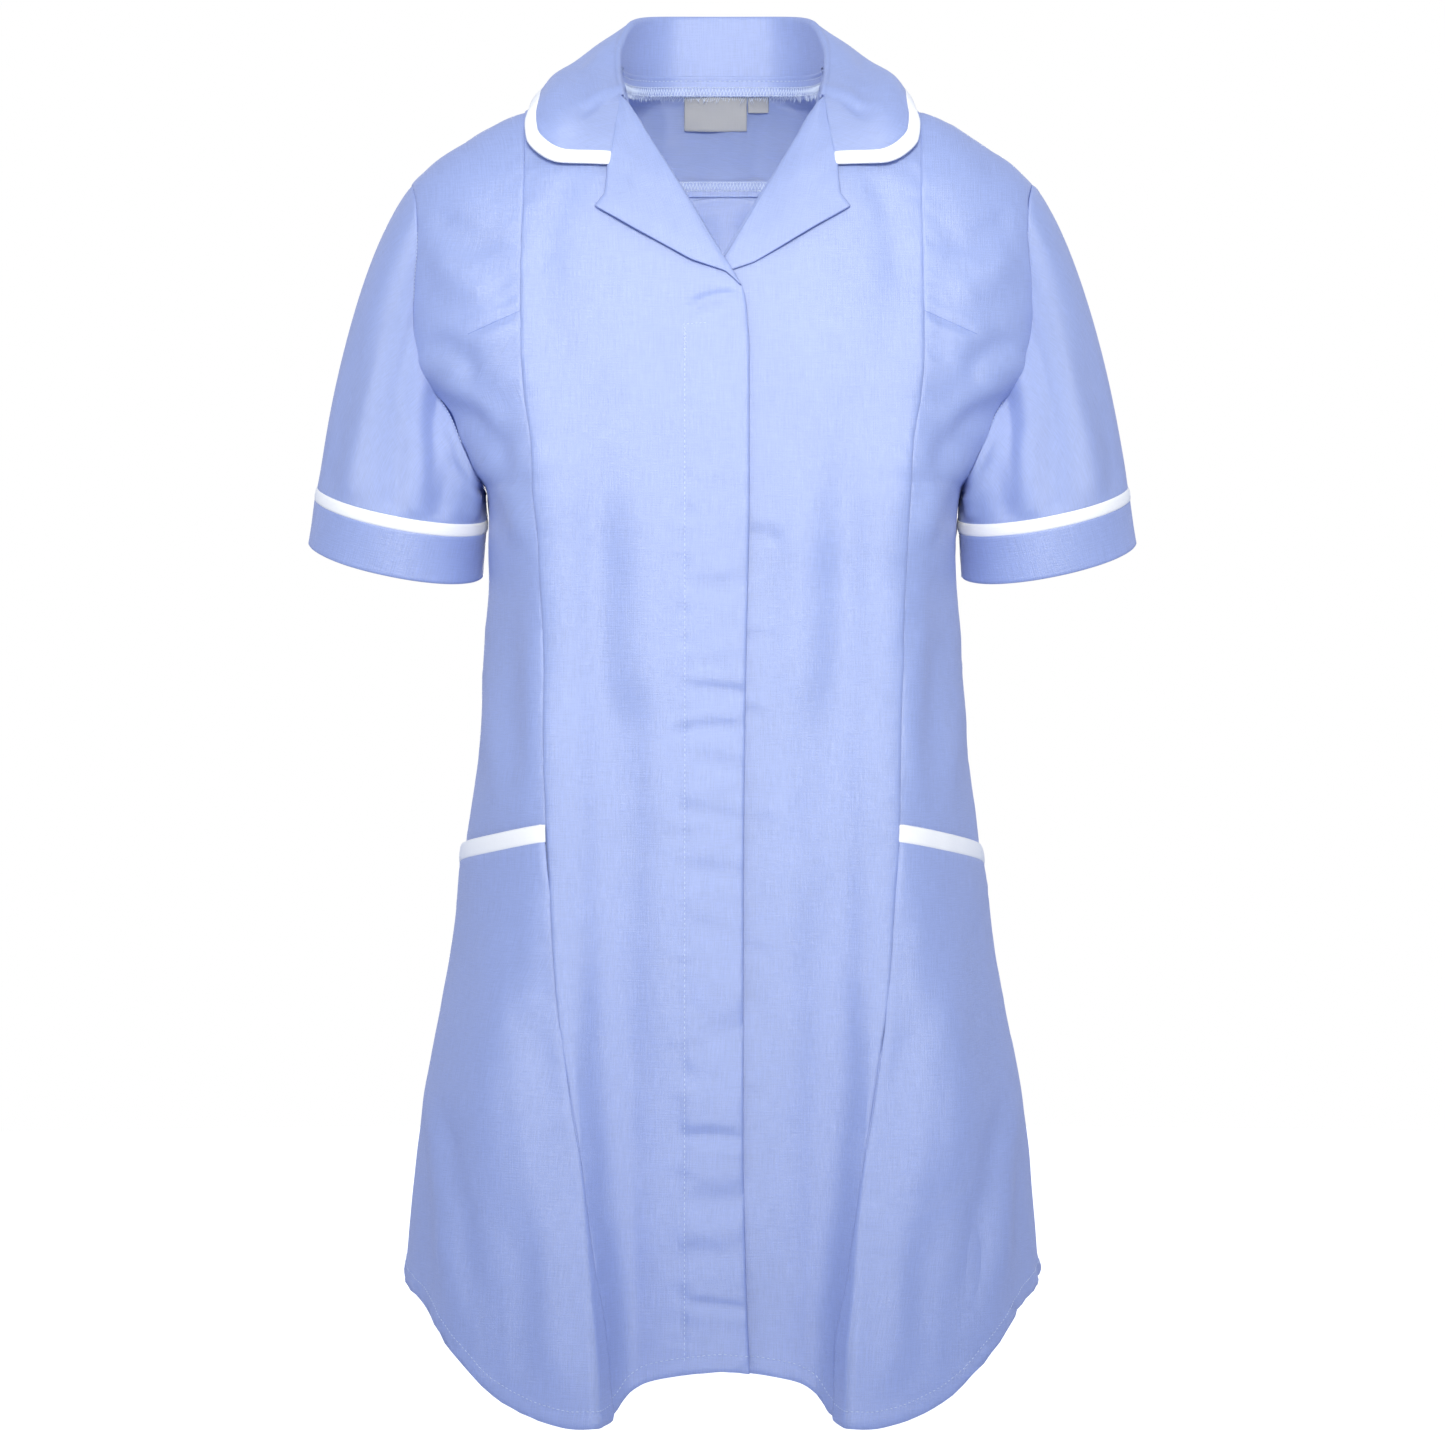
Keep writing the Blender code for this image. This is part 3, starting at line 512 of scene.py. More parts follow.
weaveGroup = buildWeaveGroup()
finishes = {
    "tunicCloth": {"slot": "tunic_cloth", "colour": (.30, .386, .742), "threads": 1900, "streaks": .13,
                   "mottle": .05, "rough": .43, "bump": .00016, "sheen": .16, "gloss": 1.0},
    "whiteBinding": {"slot": "white_binding", "colour": (.97, .972, .98), "threads": 1700, "streaks": .02,
                     "mottle": .015, "rough": .7, "bump": .00012, "sheen": .15, "gloss": .4},
    "greyLabel": {"slot": "grey_label", "colour": (.43, .43, .45), "threads": 2600, "streaks": .03,
                  "mottle": .01, "rough": .5, "bump": .00008, "sheen": .1, "gloss": .4},
    "paleThread": {"slot": "tunic_cloth", "colour": (.64, .73, .94), "threads": 3000, "streaks": .02,
                   "mottle": .01, "rough": .5, "bump": .00005, "sheen": .2, "gloss": .5},
    # seamShade: darker than the cloth, the painted shade of the dart's sunk seam line
    "seamShade": {"slot": "tunic_cloth", "colour": (.20, .28, .63), "threads": 3000, "streaks": .02,
                  "mottle": .01, "rough": .6, "bump": .00005, "sheen": .1, "gloss": .4},
}


def buildFinish(name):
    facts = finishes[name]
    material = bpy.data.materials.new(name)
    material.use_nodes = True
    tree = material.node_tree
    shader = tree.nodes["Principled BSDF"].inputs
    uv = addNode(tree, "ShaderNodeUVMap", {"uv_map": "clothLie"})
    weave = addNode(tree, "ShaderNodeGroup", {"node_tree": weaveGroup}, UV=uv.outputs[0],
                    Colour=(*facts["colour"], 1), Threads=facts["threads"], Streaks=facts["streaks"],
                    Mottle=facts["mottle"], Rough=facts["rough"]).outputs
    bump = addNode(tree, "ShaderNodeBump", Height=weave["Height"], Distance=facts["bump"])
    tree.links.new(weave["Colour"], shader["Base Color"])
    tree.links.new(weave["Roughness"], shader["Roughness"])
    tree.links.new(bump.outputs["Normal"], shader["Normal"])
    shader["Sheen Weight"].default_value = facts["sheen"]
    shader["Sheen Roughness"].default_value = .4
    shader["Specular IOR Level"].default_value = facts["gloss"]
    shader["IOR"].default_value = 1.7
    return material


materials = {name: buildFinish(name) for name in finishes}
print("finishes made")


# Shells
def addObject(name, data):
    made = bpy.data.objects.new(name, data)
    bpy.context.scene.collection.objects.link(made)
    return made


def closedGrid(grid, ring):
    return np.concatenate([grid, grid[:, :1]], axis=1) if ring else grid


def gridWays(grid, ring=False):
    right = np.gradient(grid, axis=1)
    if ring:
        right = np.roll(grid, -1, axis=1) - np.roll(grid, 1, axis=1)
    return unit(np.cross(np.gradient(grid, axis=0), right))


def rimLoops(count, columns, ring):
    # The places of the points along the grid's open edges
    if ring:
        return [[(0, c) for c in range(columns + 1)], [(count - 1, c) for c in range(columns, -1, -1)]]
    edge = [(0, c) for c in range(columns)] + [(r, columns - 1) for r in range(1, count)]
    edge += [(count - 1, c) for c in range(columns - 2, -1, -1)]
    return [edge + [(r, 0) for r in range(count - 2, -1, -1)]]


def clothShell(name, grid, finish, wall, ring, lie):
    # Closed thin cloth with rounded edges, from a grid of the points of its outer face
    count, columns = grid.shape[:2]
    inner = grid - gridWays(grid, ring) * wall
    if lie is None:
        away = edgeDistances(closedGrid(grid, ring))
        lie = stacked(away["left"] - away["left"][:, -1:] / 2, -away["top"])
    total = count * columns
    r, c = np.mgrid[0:count - 1, 0:columns if ring else columns - 1]
    corners = [(r, c), (r + 1, c), (r + 1, c + 1), (r, c + 1)]
    face = np.stack([a * columns + b % columns for a, b in corners], axis=-1).reshape(-1, 4)
    faceUv = np.stack([lie[a, b] for a, b in corners], axis=-2).reshape(-1, 4, 2)
    points = [grid.reshape(-1, 3), inner.reshape(-1, 3)]
    faces, uvs = [face, face[:, ::-1] + total], [faceUv, faceUv[:, ::-1]]
    start = 2 * total
    for loop in rimLoops(count, columns, ring):
        r, c = np.array(loop).T
        ids = r * columns + c % columns
        outside, inside = points[0][ids], points[1][ids]
        beside = grid[np.clip(r, 1, count - 2), c % columns if ring else np.clip(c, 1, columns - 2)]
        middle = (outside + inside) / 2 + unit(outside - beside) * wall * .5
        distinct = len(ids) - 1
        middleIds = start + np.arange(len(ids)) % distinct
        points.append(middle[:distinct])
        start += distinct
        uv = lie[r, c]
        for near, far in ((ids, middleIds), (middleIds, ids + total)):
            faces.append(np.stack([near[:-1], near[1:], far[1:], far[:-1]], axis=1))
            uvs.append(np.stack([uv[:-1], uv[1:], uv[1:], uv[:-1]], axis=1))
    mesh = bpy.data.meshes.new(name)
    mesh.from_pydata((np.concatenate(points) * mm).tolist(), [], np.concatenate(faces).tolist())
    layer = mesh.uv_layers.new(name="clothLie")
    layer.data.foreach_set("uv", (np.concatenate(uvs) * mm).astype(np.float32).ravel())
    mesh.materials.append(materials[finish])
    mesh.shade_smooth()
    return addObject(name, mesh)


def dress(name, grid, node=None, finish="tunicCloth", wall=cloth["wall"], ring=False, lie=None):
    # A piece of cloth that rides with the tunic and stands in for its CAD node, which it hides
    piece = clothShell(name, grid, finish, wall, ring, lie)
    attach(piece, "root")
    if node:
        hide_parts(node)
    return piece


def onSide(grid, side):
    # A grid of the wearer's left side, moved to the right one where side is -1
    return grid if side > 0 else grid[:, ::-1] * flip


# The turned-up hem
hem = {"depth": 9.6, "raised": .45, "stitchDip": .55, "roping": .7, "ropingPitch": 6.5,
       "curveFrom": 110, "curveRun": 40, "curveRoping": 1.6}


def hemRelief(away, seed, points):
    d = away["bottom"]
    band = 1 - ease((d - hem["depth"] + .8) / 2)
    twist = softNoise((away["left"] + d * 1.3) / hem["ropingPitch"], d / 40 + 2, seed + 31)
    lift = hem["raised"] * band * ease(d / 1.2) - hem["stitchDip"] * bell(d - hem["depth"] - .6, 1.1)
    # the band ropes most where the hem curves up
    curve = ease((np.abs(points[..., 0]) - hem["curveFrom"]) / hem["curveRun"])
    roping = hem["roping"] * (1 + hem["curveRoping"] * curve)
    return lift + roping * twist * bell(d - 5, 6)


# The closure: the right front laps over the left one
closure = {
    "lapDepth": 4.5, "lapTo": 16, "lapFade": 44,         # how the left front sinks behind
    "stitchAcross": 23.2, "stitchDip": .45, "raised": .7, "top": -160.5, "foot": -797,
    "ripple": .8, "ripplePitch": 5.2, "rippleReach": 8, "unevenness": .3,
    "foldsTo": 42, "foldsFade": 16, "edgeTuck": 1.0, "facingDepth": 1.5,
}


def lapBehind(points):
    return -closure["lapDepth"] * ease(1 - (points[..., 0] - closure["lapTo"]) / closure["lapFade"])


# Wrinkles across the closure, from the stitch line towards the edge: seen from the front, the
# wearer's right is at negative x
placketFolds = [
    # x0    z0    x1    z1   bend width depth
    (-21, -153, 12, -145, 3, 3.6, 1.9),
    (-22, -160, 4, -151, 2, 3, -1.2),
    (-36, -214, -10, -216, 1, 4, -.5),
    (-40, -262, 14, -270, 1.5, 6, -.6),
    (-27, -325, 22, -320, -2, 7, -.8),
    (-38, -341, -8, -345, 2, 5, -.6),
    (-30, -373, 8, -377, 2, 5, -.9),
    (-30, -388, 24, -394, 3, 4.4, -1.8),
    (-26, -403, 20, -399, -2, 5, .9),
    (-36, -417, 16, -412, 3, 3.8, -1.4),
    (-24, -432, 24, -441, 2, 5.4, -1.3),
    (-30, -451, 4, -445, -3, 5, 1.0),
    (-28, -464, 22, -471, 2, 4.2, -1.4),
    (-38, -483, 2, -478, 3, 4.5, -.9),
    (-25, -496, 24, -503, -2, 6.5, -1.3),
    (-30, -518, 12, -511, 2, 7, 1.0),
    (-37, -533, 4, -537, 2, 4.5, -.8),
    (-24, -562, 24, -577, 4, 11, 1.7),
    (-16, -597, 23, -590, -5, 10, -2.3),
    (-35, -612, -4, -608, 2, 4, -.9),
    (-33, -627, 6, -632, 3, 7, -1.1),
    (-29, -646, 22, -640, 2, 13, 1.8),
    (-30, -662, 20, -667, 3, 4.2, -1.8),
    (-24, -674, 22, -671, 2, 6, 1.4),
    (-27, -702, 23, -693, -4, 10, -2.0),
    (-28, -717, 14, -722, 3, 9, 1.6),
    (-36, -734, 8, -739, 2, 7, -1.2),
    (-28, -750, 22, -746, 2, 9, 1.4),
    (-26, -762, 20, -767, 1, 2.8, -1.5),
    (-26, -769, 20, -775, 1, 3.6, .9),
]
# Dents of the left front beside the closure's edge
besideFolds = [
    (10, -292, 38, -297, 2, 5, -1.2),
    (10, -356, 31, -352, -2, 4, -1.0),
    (10, -402, 27, -406, 2, 4, -1.2),
    (10, -470, 35, -465, -3, 5, -.9),
    (10, -548, 31, -552, 2, 5, -1.0),
    (10, -640, 28, -636, 2, 5, -.8),
]
# Soft upright folds and hollows of the front, the same list for both fronts with x measured outward
frontFolds = [
    (80, -190, 70, -740, 3, 19, -6.6),
    (70, -540, 57, -850, 3, 20, -2.6),
    (99, -250, 92, -600, -3, 12, 2.0),
    (44, -240, 40, -430, 6, 14, 1.9),
    (38, -400, 44, -620, -6, 15, 1.9),
    (56, -380, 50, -500, 8, 15, -1.0),
    (52, -520, 58, -680, -6, 15, -1.2),
    (78, -640, 68, -800, 3, 8, 1.3),
    (106, -100, 88, -215, 8, 14, -1.7),
    (50, -165, 78, -250, -6, 16, 1.6),
    (88, -60, 110, -130, 5, 9, -1.0),
]


def closureRelief(base, away, seed):
    # The band raised inside the stitch line, drawn in along its stitches and wrinkled across
    across, height = base[..., 0], base[..., 2]
    past = across - closure["stitchAcross"]
    band = 1 - ease((past + 1) / 2.2)
    ripple = softNoise(height / closure["ripplePitch"], across / 30 + 8, seed + 5)
    lift = closure["raised"] * band - closure["stitchDip"] * bell(past - .9, 1.1)
    lift = lift + closure["ripple"] * ripple * bell(past, closure["rippleReach"])
    lift = lift + closure["unevenness"] * softNoise(height / 9, across / 14 + 3, seed + 9) * band
    lift = lift * ease((closure["top"] - height) / 8)
    folds = creased(base * flip, placketFolds)
    lift = lift + folds * ease((closure["foldsTo"] - across) / closure["foldsFade"])
    return lift - closure["edgeTuck"] * np.exp(-away["left"] / 1.3) * ease((neckFoot - height) / 10)


def makeFront(side, edge, seed):
    name = "front_" + sideNames[side]
    places = frontPlaces(edge)
    base = onBody(places)
    away = edgeDistances(base)
    lift = cloth["outside"] + pinched(away, ["right", "top"], seed)
    lift = lift + rumple(base * (side, 1, 1), seed) * ease(away["left"] / 25)
    lift = lift + creased(base, frontFolds) + seamRidge(base) + hemRelief(away, seed, base)
    if side < 0:
        lift = lift + closureRelief(base, away, seed)
    else:
        lift = lift + lapBehind(base) + creased(base, besideFolds)
    grid = onSide(onBody(places, lift), side)
    dress("cloth_" + name, grid, name, lie=grainLie(grid))
    return grid


frontRight = makeFront(-1, rightEdge, 11)
frontLeft = makeFront(1, leftEdge, 23)
print("fronts made")

# Side fronts: bust dart, and folds as seen from the side front
sideFolds = [
    (121, -151, 161, -167, 0, 2.2, -1.0),
    (121, -158, 158, -173, 0, 5, 1.0),
    (122, -140, 140, -148, 1, 2, -.6),
    (184, -84, 136, -112, 6, 9, -1.9),
    (182, -112, 140, -140, 6, 10, 2.0),
    (188, -168, 150, -196, -6, 8, -3.0),
    (178, -192, 136, -232, -7, 8, 2.8),
    (164, -208, 128, -262, -7, 8, -3.0),
    (150, -238, 118, -300, -5, 9, 2.3),
    (126, -230, 120, -300, 4, 8, 1.3),
    (130, -300, 126, -440, 4, 11, -2.3),
    (118, -340, 116, -460, -3, 8, 1.6),
    (146, -320, 140, -460, 3, 7, 1.9),
]


def makeSideFront(side, seed):
    name = "side_front_" + sideNames[side]
    places = sideFrontPlaces()
    base = onBody(places)
    away = edgeDistances(base)
    lift = cloth["outside"] + pinched(away, ["left", "right", "top"], seed)
    lift = lift + rumple(base * (side, 1, 1), seed) * ease(away["left"] / 20)
    lift = lift + creased(base, sideFolds) + hemRelief(away, seed, base) + seamRidge(base)
    grid = onSide(onBody(places, lift), side)
    return places, dress("cloth_" + name, grid, name, lie=grainLie(grid))


sideLeft, sideClothLeft = makeSideFront(1, 37)
sideRight, sideClothRight = makeSideFront(-1, 41)
print("side fronts made")

# The back and its yoke
backFolds = [
    (-17, -66, -14, -150, 3, 9, 1.9),
    (19, -66, 22, -138, -3, 8, 1.4),
    (0, -420, 0, -790, 0, 26, -2.0),
    (62, -380, 84, -780, 5, 22, 2.0),
    (-70, -400, -88, -780, -6, 20, 1.8),
    (110, -450, 128, -760, 6, 18, -1.6),
    (-112, -430, -132, -760, -4, 18, -1.7),
    (40, -110, 60, -260, 8, 18, -1.0),
    (-36, -120, -66, -280, -8, 20, -1.1),
    (120, -120, 96, -230, -6, 14, .9),
    (-124, -130, -98, -240, 6, 14, .9),
]
yokeFolds = [
    (-12, -2, -17, -66, 2, 8, 1.9),
    (24, -4, 19, -66, -2, 7, 1.4),
    (-38, 0, -42, -50, 3, 7, -2.2),
    (46, -8, 40, -60, 3, 8, 1.9),
]


def backHalf():
    outer, first = outerSeam(backArmhole, True), firstRow(rows["yokeSteps"])
    shares = columnShares(rows["columns"] + 10, .2)
    turns = outer[first, 0] + (180 - outer[first, 0]) * shares
    ends = ease((180 - turns) / (180 - turns[0]))
    yokeSeam = stacked(turns, yokeFoot + (outer[first, 1] - yokeFoot) * ends)
    neck = seamPlaces(backNeck, np.linspace(0, backNeck["height"][-1], 200), True)
    neck[0, 0] = 90
    down = np.linspace(0, 1, 34)
    shoulder = stacked(90.0, outer[0, 1] * down)
    middle = stacked(180.0, neck[-1, 1] + (yokeFoot - neck[-1, 1]) * down)
    foot = np.concatenate([outer[:first], yokeSeam])
    across = np.linspace(0, 1, len(foot))
    yoke = between(shoulder, middle, across, down, evenly(neck, across), foot)
    at, outer = steps[first:], outer[first:]
    middle = stacked(180.0, heightsDown(at, yokeFoot, rows["yokeSteps"], hemHeight(180.0)))
    return yoke, between(outer, middle, shares, at, yokeSeam, alongHem(outer, middle, shares))


def bothHalves(places):
    other = places[:, ::-1][:, 1:] * np.array([-1, 1]) + np.array([360, 0])
    return np.concatenate([places, other], axis=1)


def makeBack():
    yokePlaces, backPlaces = (bothHalves(half) for half in backHalf())
    base = onBody(yokePlaces)
    lift = pinched(edgeDistances(base), ["left", "right", "bottom"], 51) + .6 * rumple(base, 51)
    yoke = onBody(yokePlaces, cloth["outside"] + lift + creased(base, yokeFolds))
    dress("cloth_yoke", yoke, "yoke", lie=grainLie(yoke))
    base = onBody(backPlaces)
    away = edgeDistances(base)
    lift = pinched(away, ["left", "right", "top"], 53) + rumple(base, 53) + creased(base, backFolds)
    back = onBody(backPlaces, cloth["outside"] + lift + hemRelief(away, 53, base))
    dress("cloth_back", back, "back", lie=grainLie(back))
    return back


backGrid = makeBack()
print("back and yoke made")

# Patch pockets with bound mouths
pocket = {"lay": 2.55, "mouthLift": .7, "mouthReach": 80, "trim": 10.5, "trimRows": 10, "firstStep": 23,
          "trimLift": .15, "trimBulge": .5, "swell": 8, "swellAt": -635, "swellReach": 75,
          "innerFade": 40, "outerFade": 110}
pocketMouth = table("share height", (0, -472), (.3, -477.5), (.65, -483), (1, -489))
pocketFolds = [
    (96, -500, 100, -600, 3, 8, -1.3),
    (128, -560, 132, -700, 5, 10, 1.8),
    (166, -640, 158, -760, -3, 6, -2.6),
    (176, -640, 170, -760, -3, 6, 2.2),
    (150, -690, 148, -780, 3, 6, -2.0),
    (138, -745, 140, -812, 0, 3, -1.6),
    (104, -700, 96, -820, 4, 10, 1.7),
    (120, -720, 124, -810, -4, 9, -1.2),
    (112, -590, 108, -690, -4, 7, -.9),
]


def squareOff(points, lift):
    # Moved out square to the grid's own faces, so that it clears them at a sharp ridge too
    ways = unit(np.cross(np.gradient(points, axis=0)[:, :-1], np.diff(points, axis=1)))
    before, after = np.concatenate([ways[:, :1], ways], 1), np.concatenate([ways, ways[:, -1:]], 1)
    corner = 1 + np.sum(before * after, axis=-1, keepdims=True)
    return points + lift[..., None] * (before + after) / corner


def pocketPlaces(places):
    # Rows of the binding, rows on down to the side front's own, and those
    below, trim = places[firstRow(pocket["firstStep"]):], pocket["trim"]
    shares = (below[0, :, 0] - below[0, 0, 0]) / (below[0, -1, 0] - below[0, 0, 0])
    mouthHeight, = linesOf(pocketMouth)
    mouth = mouthHeight(shares)
    bandDrop = np.linspace(0, trim, pocket["trimRows"])[:, None] + 0 * mouth
    clothDrop = trim + np.linspace(0, 1, 16)[1:-1, None] * (mouth - below[0, :, 1] - trim) * .97
    heights = mouth - np.concatenate([bandDrop, clothDrop])
    turns = [np.interp(heights[:, c], places[::-1, c, 1], places[::-1, c, 0]) for c in range(len(mouth))]
    return np.concatenate([stacked(np.array(turns).T, heights), below])


def makePocket(side, places, seed):
    name = sideNames[side]
    places = pocketPlaces(places)
    base = onBody(places)
    away = edgeDistances(base)
    lift = pocket["lay"] + pocket["mouthLift"] * ease(1 - away["top"] / pocket["mouthReach"])
    lift = lift + rumple(base * (side, 1, 1), seed) + pinched(away, ["left", "right"], seed, .7)
    lift = lift + creased(base, pocketFolds) + hemRelief(away, seed, base) + seamRidge(base)
    swell = bell(base[..., 2] - pocket["swellAt"], pocket["swellReach"])
    swell = swell * ease(away["left"] / pocket["innerFade"]) * ease(away["right"] / pocket["outerFade"])
    grid = squareOff(base, lift + pocket["swell"] * swell)
    body = onSide(grid[pocket["trimRows"] - 1:], side)
    dress("cloth_pocket_" + name, body, "pocket_" + name, lie=grainLie(body))
    band = onSide(raisedBand(grid[:pocket["trimRows"]], pocket["trimLift"], pocket["trimBulge"]), side)
    dress("binding_pocket_" + name, band, "pocket_trim_" + name, "whiteBinding", 1.5)
    return body


pocketLeft = makePocket(1, sideLeft, 61)
pocketRight = makePocket(-1, sideRight, 67)
print("pockets made")

# Sleeves, their bindings and cuffs
sleeve = {"head": (.60, 0, -.80), "side": (.30, .30, -.90), "pull": .82, "step": 1.7, "around": 112,
          "down": 46, "trimLift": .25, "trimBulge": .55, "cuffWaves": .4, "cuffLean": 3.2}
cuffRings = table(
    "outerX outerZ innerX innerZ reach drop",
    (258.7, -257, 151.2, -278, 57, 11),
    (260.2, -264.4, 151.4, -285.6, 55.2, 11.3),
    (264.4, -293, 153.6, -314.5, 50, 12.5),
)


def ringPoints(ring, count):
    outer = np.array([cuffRings["outerX"][ring], 0, cuffRings["outerZ"][ring]])
    inner = np.array([cuffRings["innerX"][ring], 0, cuffRings["innerZ"][ring]])
    ahead = np.array([0, -cuffRings["reach"][ring], -cuffRings["drop"][ring]])
    angle = np.linspace(0, 2 * np.pi, count, endpoint=False)[:, None]
    return (outer + inner) / 2 + np.cos(angle) * (outer - inner) / 2 + np.sin(angle) * ahead


# Folds down the sleeve: turn round the sleeve in degrees from its outer side to its front, start and
# end as shares of the way down, lean in degrees, width in degrees and depth in mm
sleeveFolds = table(
    "turn start end lean width depth",
    (28, .35, 1, 8, 12, -2.2),
    (58, .25, .95, -6, 12, 2.0),
    (84, .35, 1, 6, 10, -3.0),
    (106, .25, 1, -10, 10, 2.6),
    (130, .15, .9, -14, 9, -3.6),
    (154, .20, .85, -8, 8, 2.6),
    (205, .25, .9, 10, 9, -2.6),
    (230, .3, 1, 8, 10, 2.1),
    (262, .35, 1, -6, 12, -2.4),
    (300, .3, 1, 6, 14, 2.1),
    (335, .4, 1, -4, 12, -1.8),
)


def sleeveGrids():
    # The sleeve, its binding and its cuff as rings from the armhole down, and each column's turn
    half = np.linspace(0, rows["topSteps"], sleeve["around"] // 2 + 1)
    before, behind = armhole(frontArmhole, False, half), armhole(backArmhole, True, half)
    places = np.concatenate([before, behind[-2:0:-1]])
    count = len(places)
    rings = [ringPoints(ring, count) for ring in range(3)]
    angle = np.linspace(0, 2 * np.pi, count, endpoint=False)[:, None]
    top = np.cos(angle / 2) ** 2
    loop = onBody(places, sleeve["step"] * (1 - .85 * ease(top[:, 0] * 2.2)))
    facing = np.concatenate([1 - np.abs(np.cos(angle)) * .8, -np.sin(angle), 1 + 0 * angle], axis=1)
    leave = unit(top ** 3 * sleeve["head"] + (1 - top ** 3) * sleeve["side"] * facing)
    span = sleeve["pull"] * np.linalg.norm(rings[0] - loop, axis=1, keepdims=True)
    arrive = span * unit(rings[2] - rings[0])
    grid = [hermite(t, loop, rings[0], span * leave, arrive) for t in columnShares(sleeve["down"], .5)]
    trim = [rings[0] + (rings[1] - rings[0]) * t for t in np.linspace(0, 1, 8)]
    cuff = [rings[1] + (rings[2] - rings[1]) * t for t in np.linspace(0, 1, 18)]
    return [np.array(part)[:, ::-1] for part in (grid, trim, cuff)], np.degrees(angle[::-1, 0])


def sleeveRelief(grid, degrees, seed, fade=.12):
    down = columnShares(sleeve["down"], .5)[:, None]
    lift = .5 * softNoise(degrees / 24 + 0 * down, down * 3 + 5, seed, 15)
    for turn, start, end, lean, width, depth in zip(*sleeveFolds.values()):
        apart = (degrees - turn - lean * (down - start) + 180) % 360 - 180
        along = (down - start) / (end - start)
        lift = lift + depth * bell(apart, width) * ease(along / .4) * ease((1.25 - along) / .4)
    lift = cloth["outside"] + lift * ease((1 - down) / fade + .25)
    return lift + pinched(edgeDistances(grid), ["top"], seed, .6)


def makeSleeve(side, seed):
    # returns the sleeve's grid for its armhole thread
    name = sideNames[side]
    (grid, trim, cuff), degrees = sleeveGrids()
    lift = sleeveRelief(grid, degrees, seed)
    whole = onSide(grid + gridWays(grid, True) * lift[..., None], side)
    dress("cloth_sleeve_" + name, whole, "sleeve_" + name, ring=True)
    t = np.linspace(0, 1, len(trim))[:, None]
    trimLift = lift[-1] * (1 - .15 * t) + sleeve["trimLift"]
    trimLift = trimLift + sleeve["trimBulge"] * rounding(len(trim))[:, None]
    trim = onSide(trim + gridWays(trim, True) * trimLift[..., None], side)
    dress("binding_cuff_" + name, trim, "cuff_trim_" + name, "whiteBinding", 1.6, ring=True)
    t = np.linspace(0, 1, len(cuff))[:, None]
    cuffLift = cloth["outside"] + (lift[-1] - cloth["outside"]) * .85 * (1 - .35 * t)
    waves = softNoise(degrees / 30 + 0 * t, t * 1.5 + 3, seed + 3, 12)
    cuffLift = cuffLift + sleeve["cuffWaves"] * waves
    cuffLift = cuffLift - sleeve["cuffLean"] * t * np.abs(np.sin(np.radians(degrees)))
    cuff = onSide(cuff + gridWays(cuff, True) * cuffLift[..., None], side)
    dress("cloth_cuff_" + name, cuff, "cuff_" + name, wall=1.3, ring=True)
    return whole


sleeveLeft = makeSleeve(1, 71)
sleeveRight = makeSleeve(-1, 79)
print("sleeves made")

# Lapels and collar: each line by distance across, height and lift off the body
gorge = table("across height lift", (64.3, -15.5, 2.6), (63.9, -19, 3), (65, -27, 3.4), (67.4, -43, 4),
              (69, -53, 4.4), (70.8, -62, 4.6))
lapelRoll = table("height across", (-15.5, 63.8), (-19, 59.4), (-26, 54.8), (-42, 45.5), (-83, 20.2),
                  (-119, -.9), (-130, -7.7), (-138, -12))
lapelTip = table("across height lift", (70.8, -62, 4.6), (71.6, -72, 4.8), (72.6, -81, 4.8),
                 (78.5, -88.3, 4.6))
lapelFootRight = table("across height lift", (-11.5, -137.5, 1.7), (-1.5, -129, 2.6), (19.5, -122, 3.6),
                       (51, -104.5, 4.6), (78.5, -88.3, 4.6))
lapelFootLeft = table("across height lift", (-9, -135.5, 1.6), (-1.5, -129, 1.6), (19.5, -122, 2.6),
                      (51, -104.5, 4.6), (78.5, -88.3, 4.6))
lapel = {"columns": 30, "fold": 1.6, "rise": .55, "bulge": 1.1, "edgeDip": 1.1,
         "gorgeSteps": (0, .12, .27, .43, .58, .72, 1)}


def lineAlong(line, shares):
    points = stacked(line["across"], line["height"], line["lift"])
    length = runLength(points)
    return stacked(*(np.interp(shares * length[-1], length, column) for column in points.T))


def bodyLine(places):
    # From distance across and height to turn and height
    return stacked(turnAt(places[..., 0], places[..., 1]), places[..., 1])


def makeLapel(side, foot, seed):
    name = sideNames[side]
    # rows keep the construction's spacing: 7 points along the gorge, then 3 down the tip
    gorgeRows, tipRows = np.linspace(0, 1, 43), np.linspace(0, 1, 22)[1:]
    free = np.concatenate([lineAlong(gorge, gorgeRows), lineAlong(lapelTip, tipRows)])
    at = np.concatenate([np.interp(gorgeRows, lapel["gorgeSteps"], np.arange(7)), 6 + 3 * tipRows])
    heights = lapelRoll["height"][0] + (foot["height"][0] - lapelRoll["height"][0]) * at / at[-1]
    rollAcross, = linesOf(lapelRoll)
    roll = stacked(rollAcross(heights), heights, lapel["fold"])
    shares = columnShares(lapel["columns"], .3)
    places = between(roll, free, shares, at, bottom=lineAlong(foot, shares))
    base = onBody(bodyLine(places))
    away = edgeDistances(base)
    lift = places[..., 2] + lapel["rise"] + .5 * rumple(base, seed, (30, 34))
    lift = lift + lapel["bulge"] * np.sin(np.pi * shares) ** 1.2 * ease(away["bottom"] / 25)
    lift = lift - lapel["edgeDip"] * np.exp(-away["left"] / 1.4)
    if side > 0:
        lift = lift + lapBehind(base)
    grid = onSide(onBody(bodyLine(places), lift), side)
    dress("cloth_lapel_" + name, grid, "lapel_" + name, wall=1.1)


makeLapel(-1, lapelFootRight, 83)
makeLapel(1, lapelFootLeft, 89)

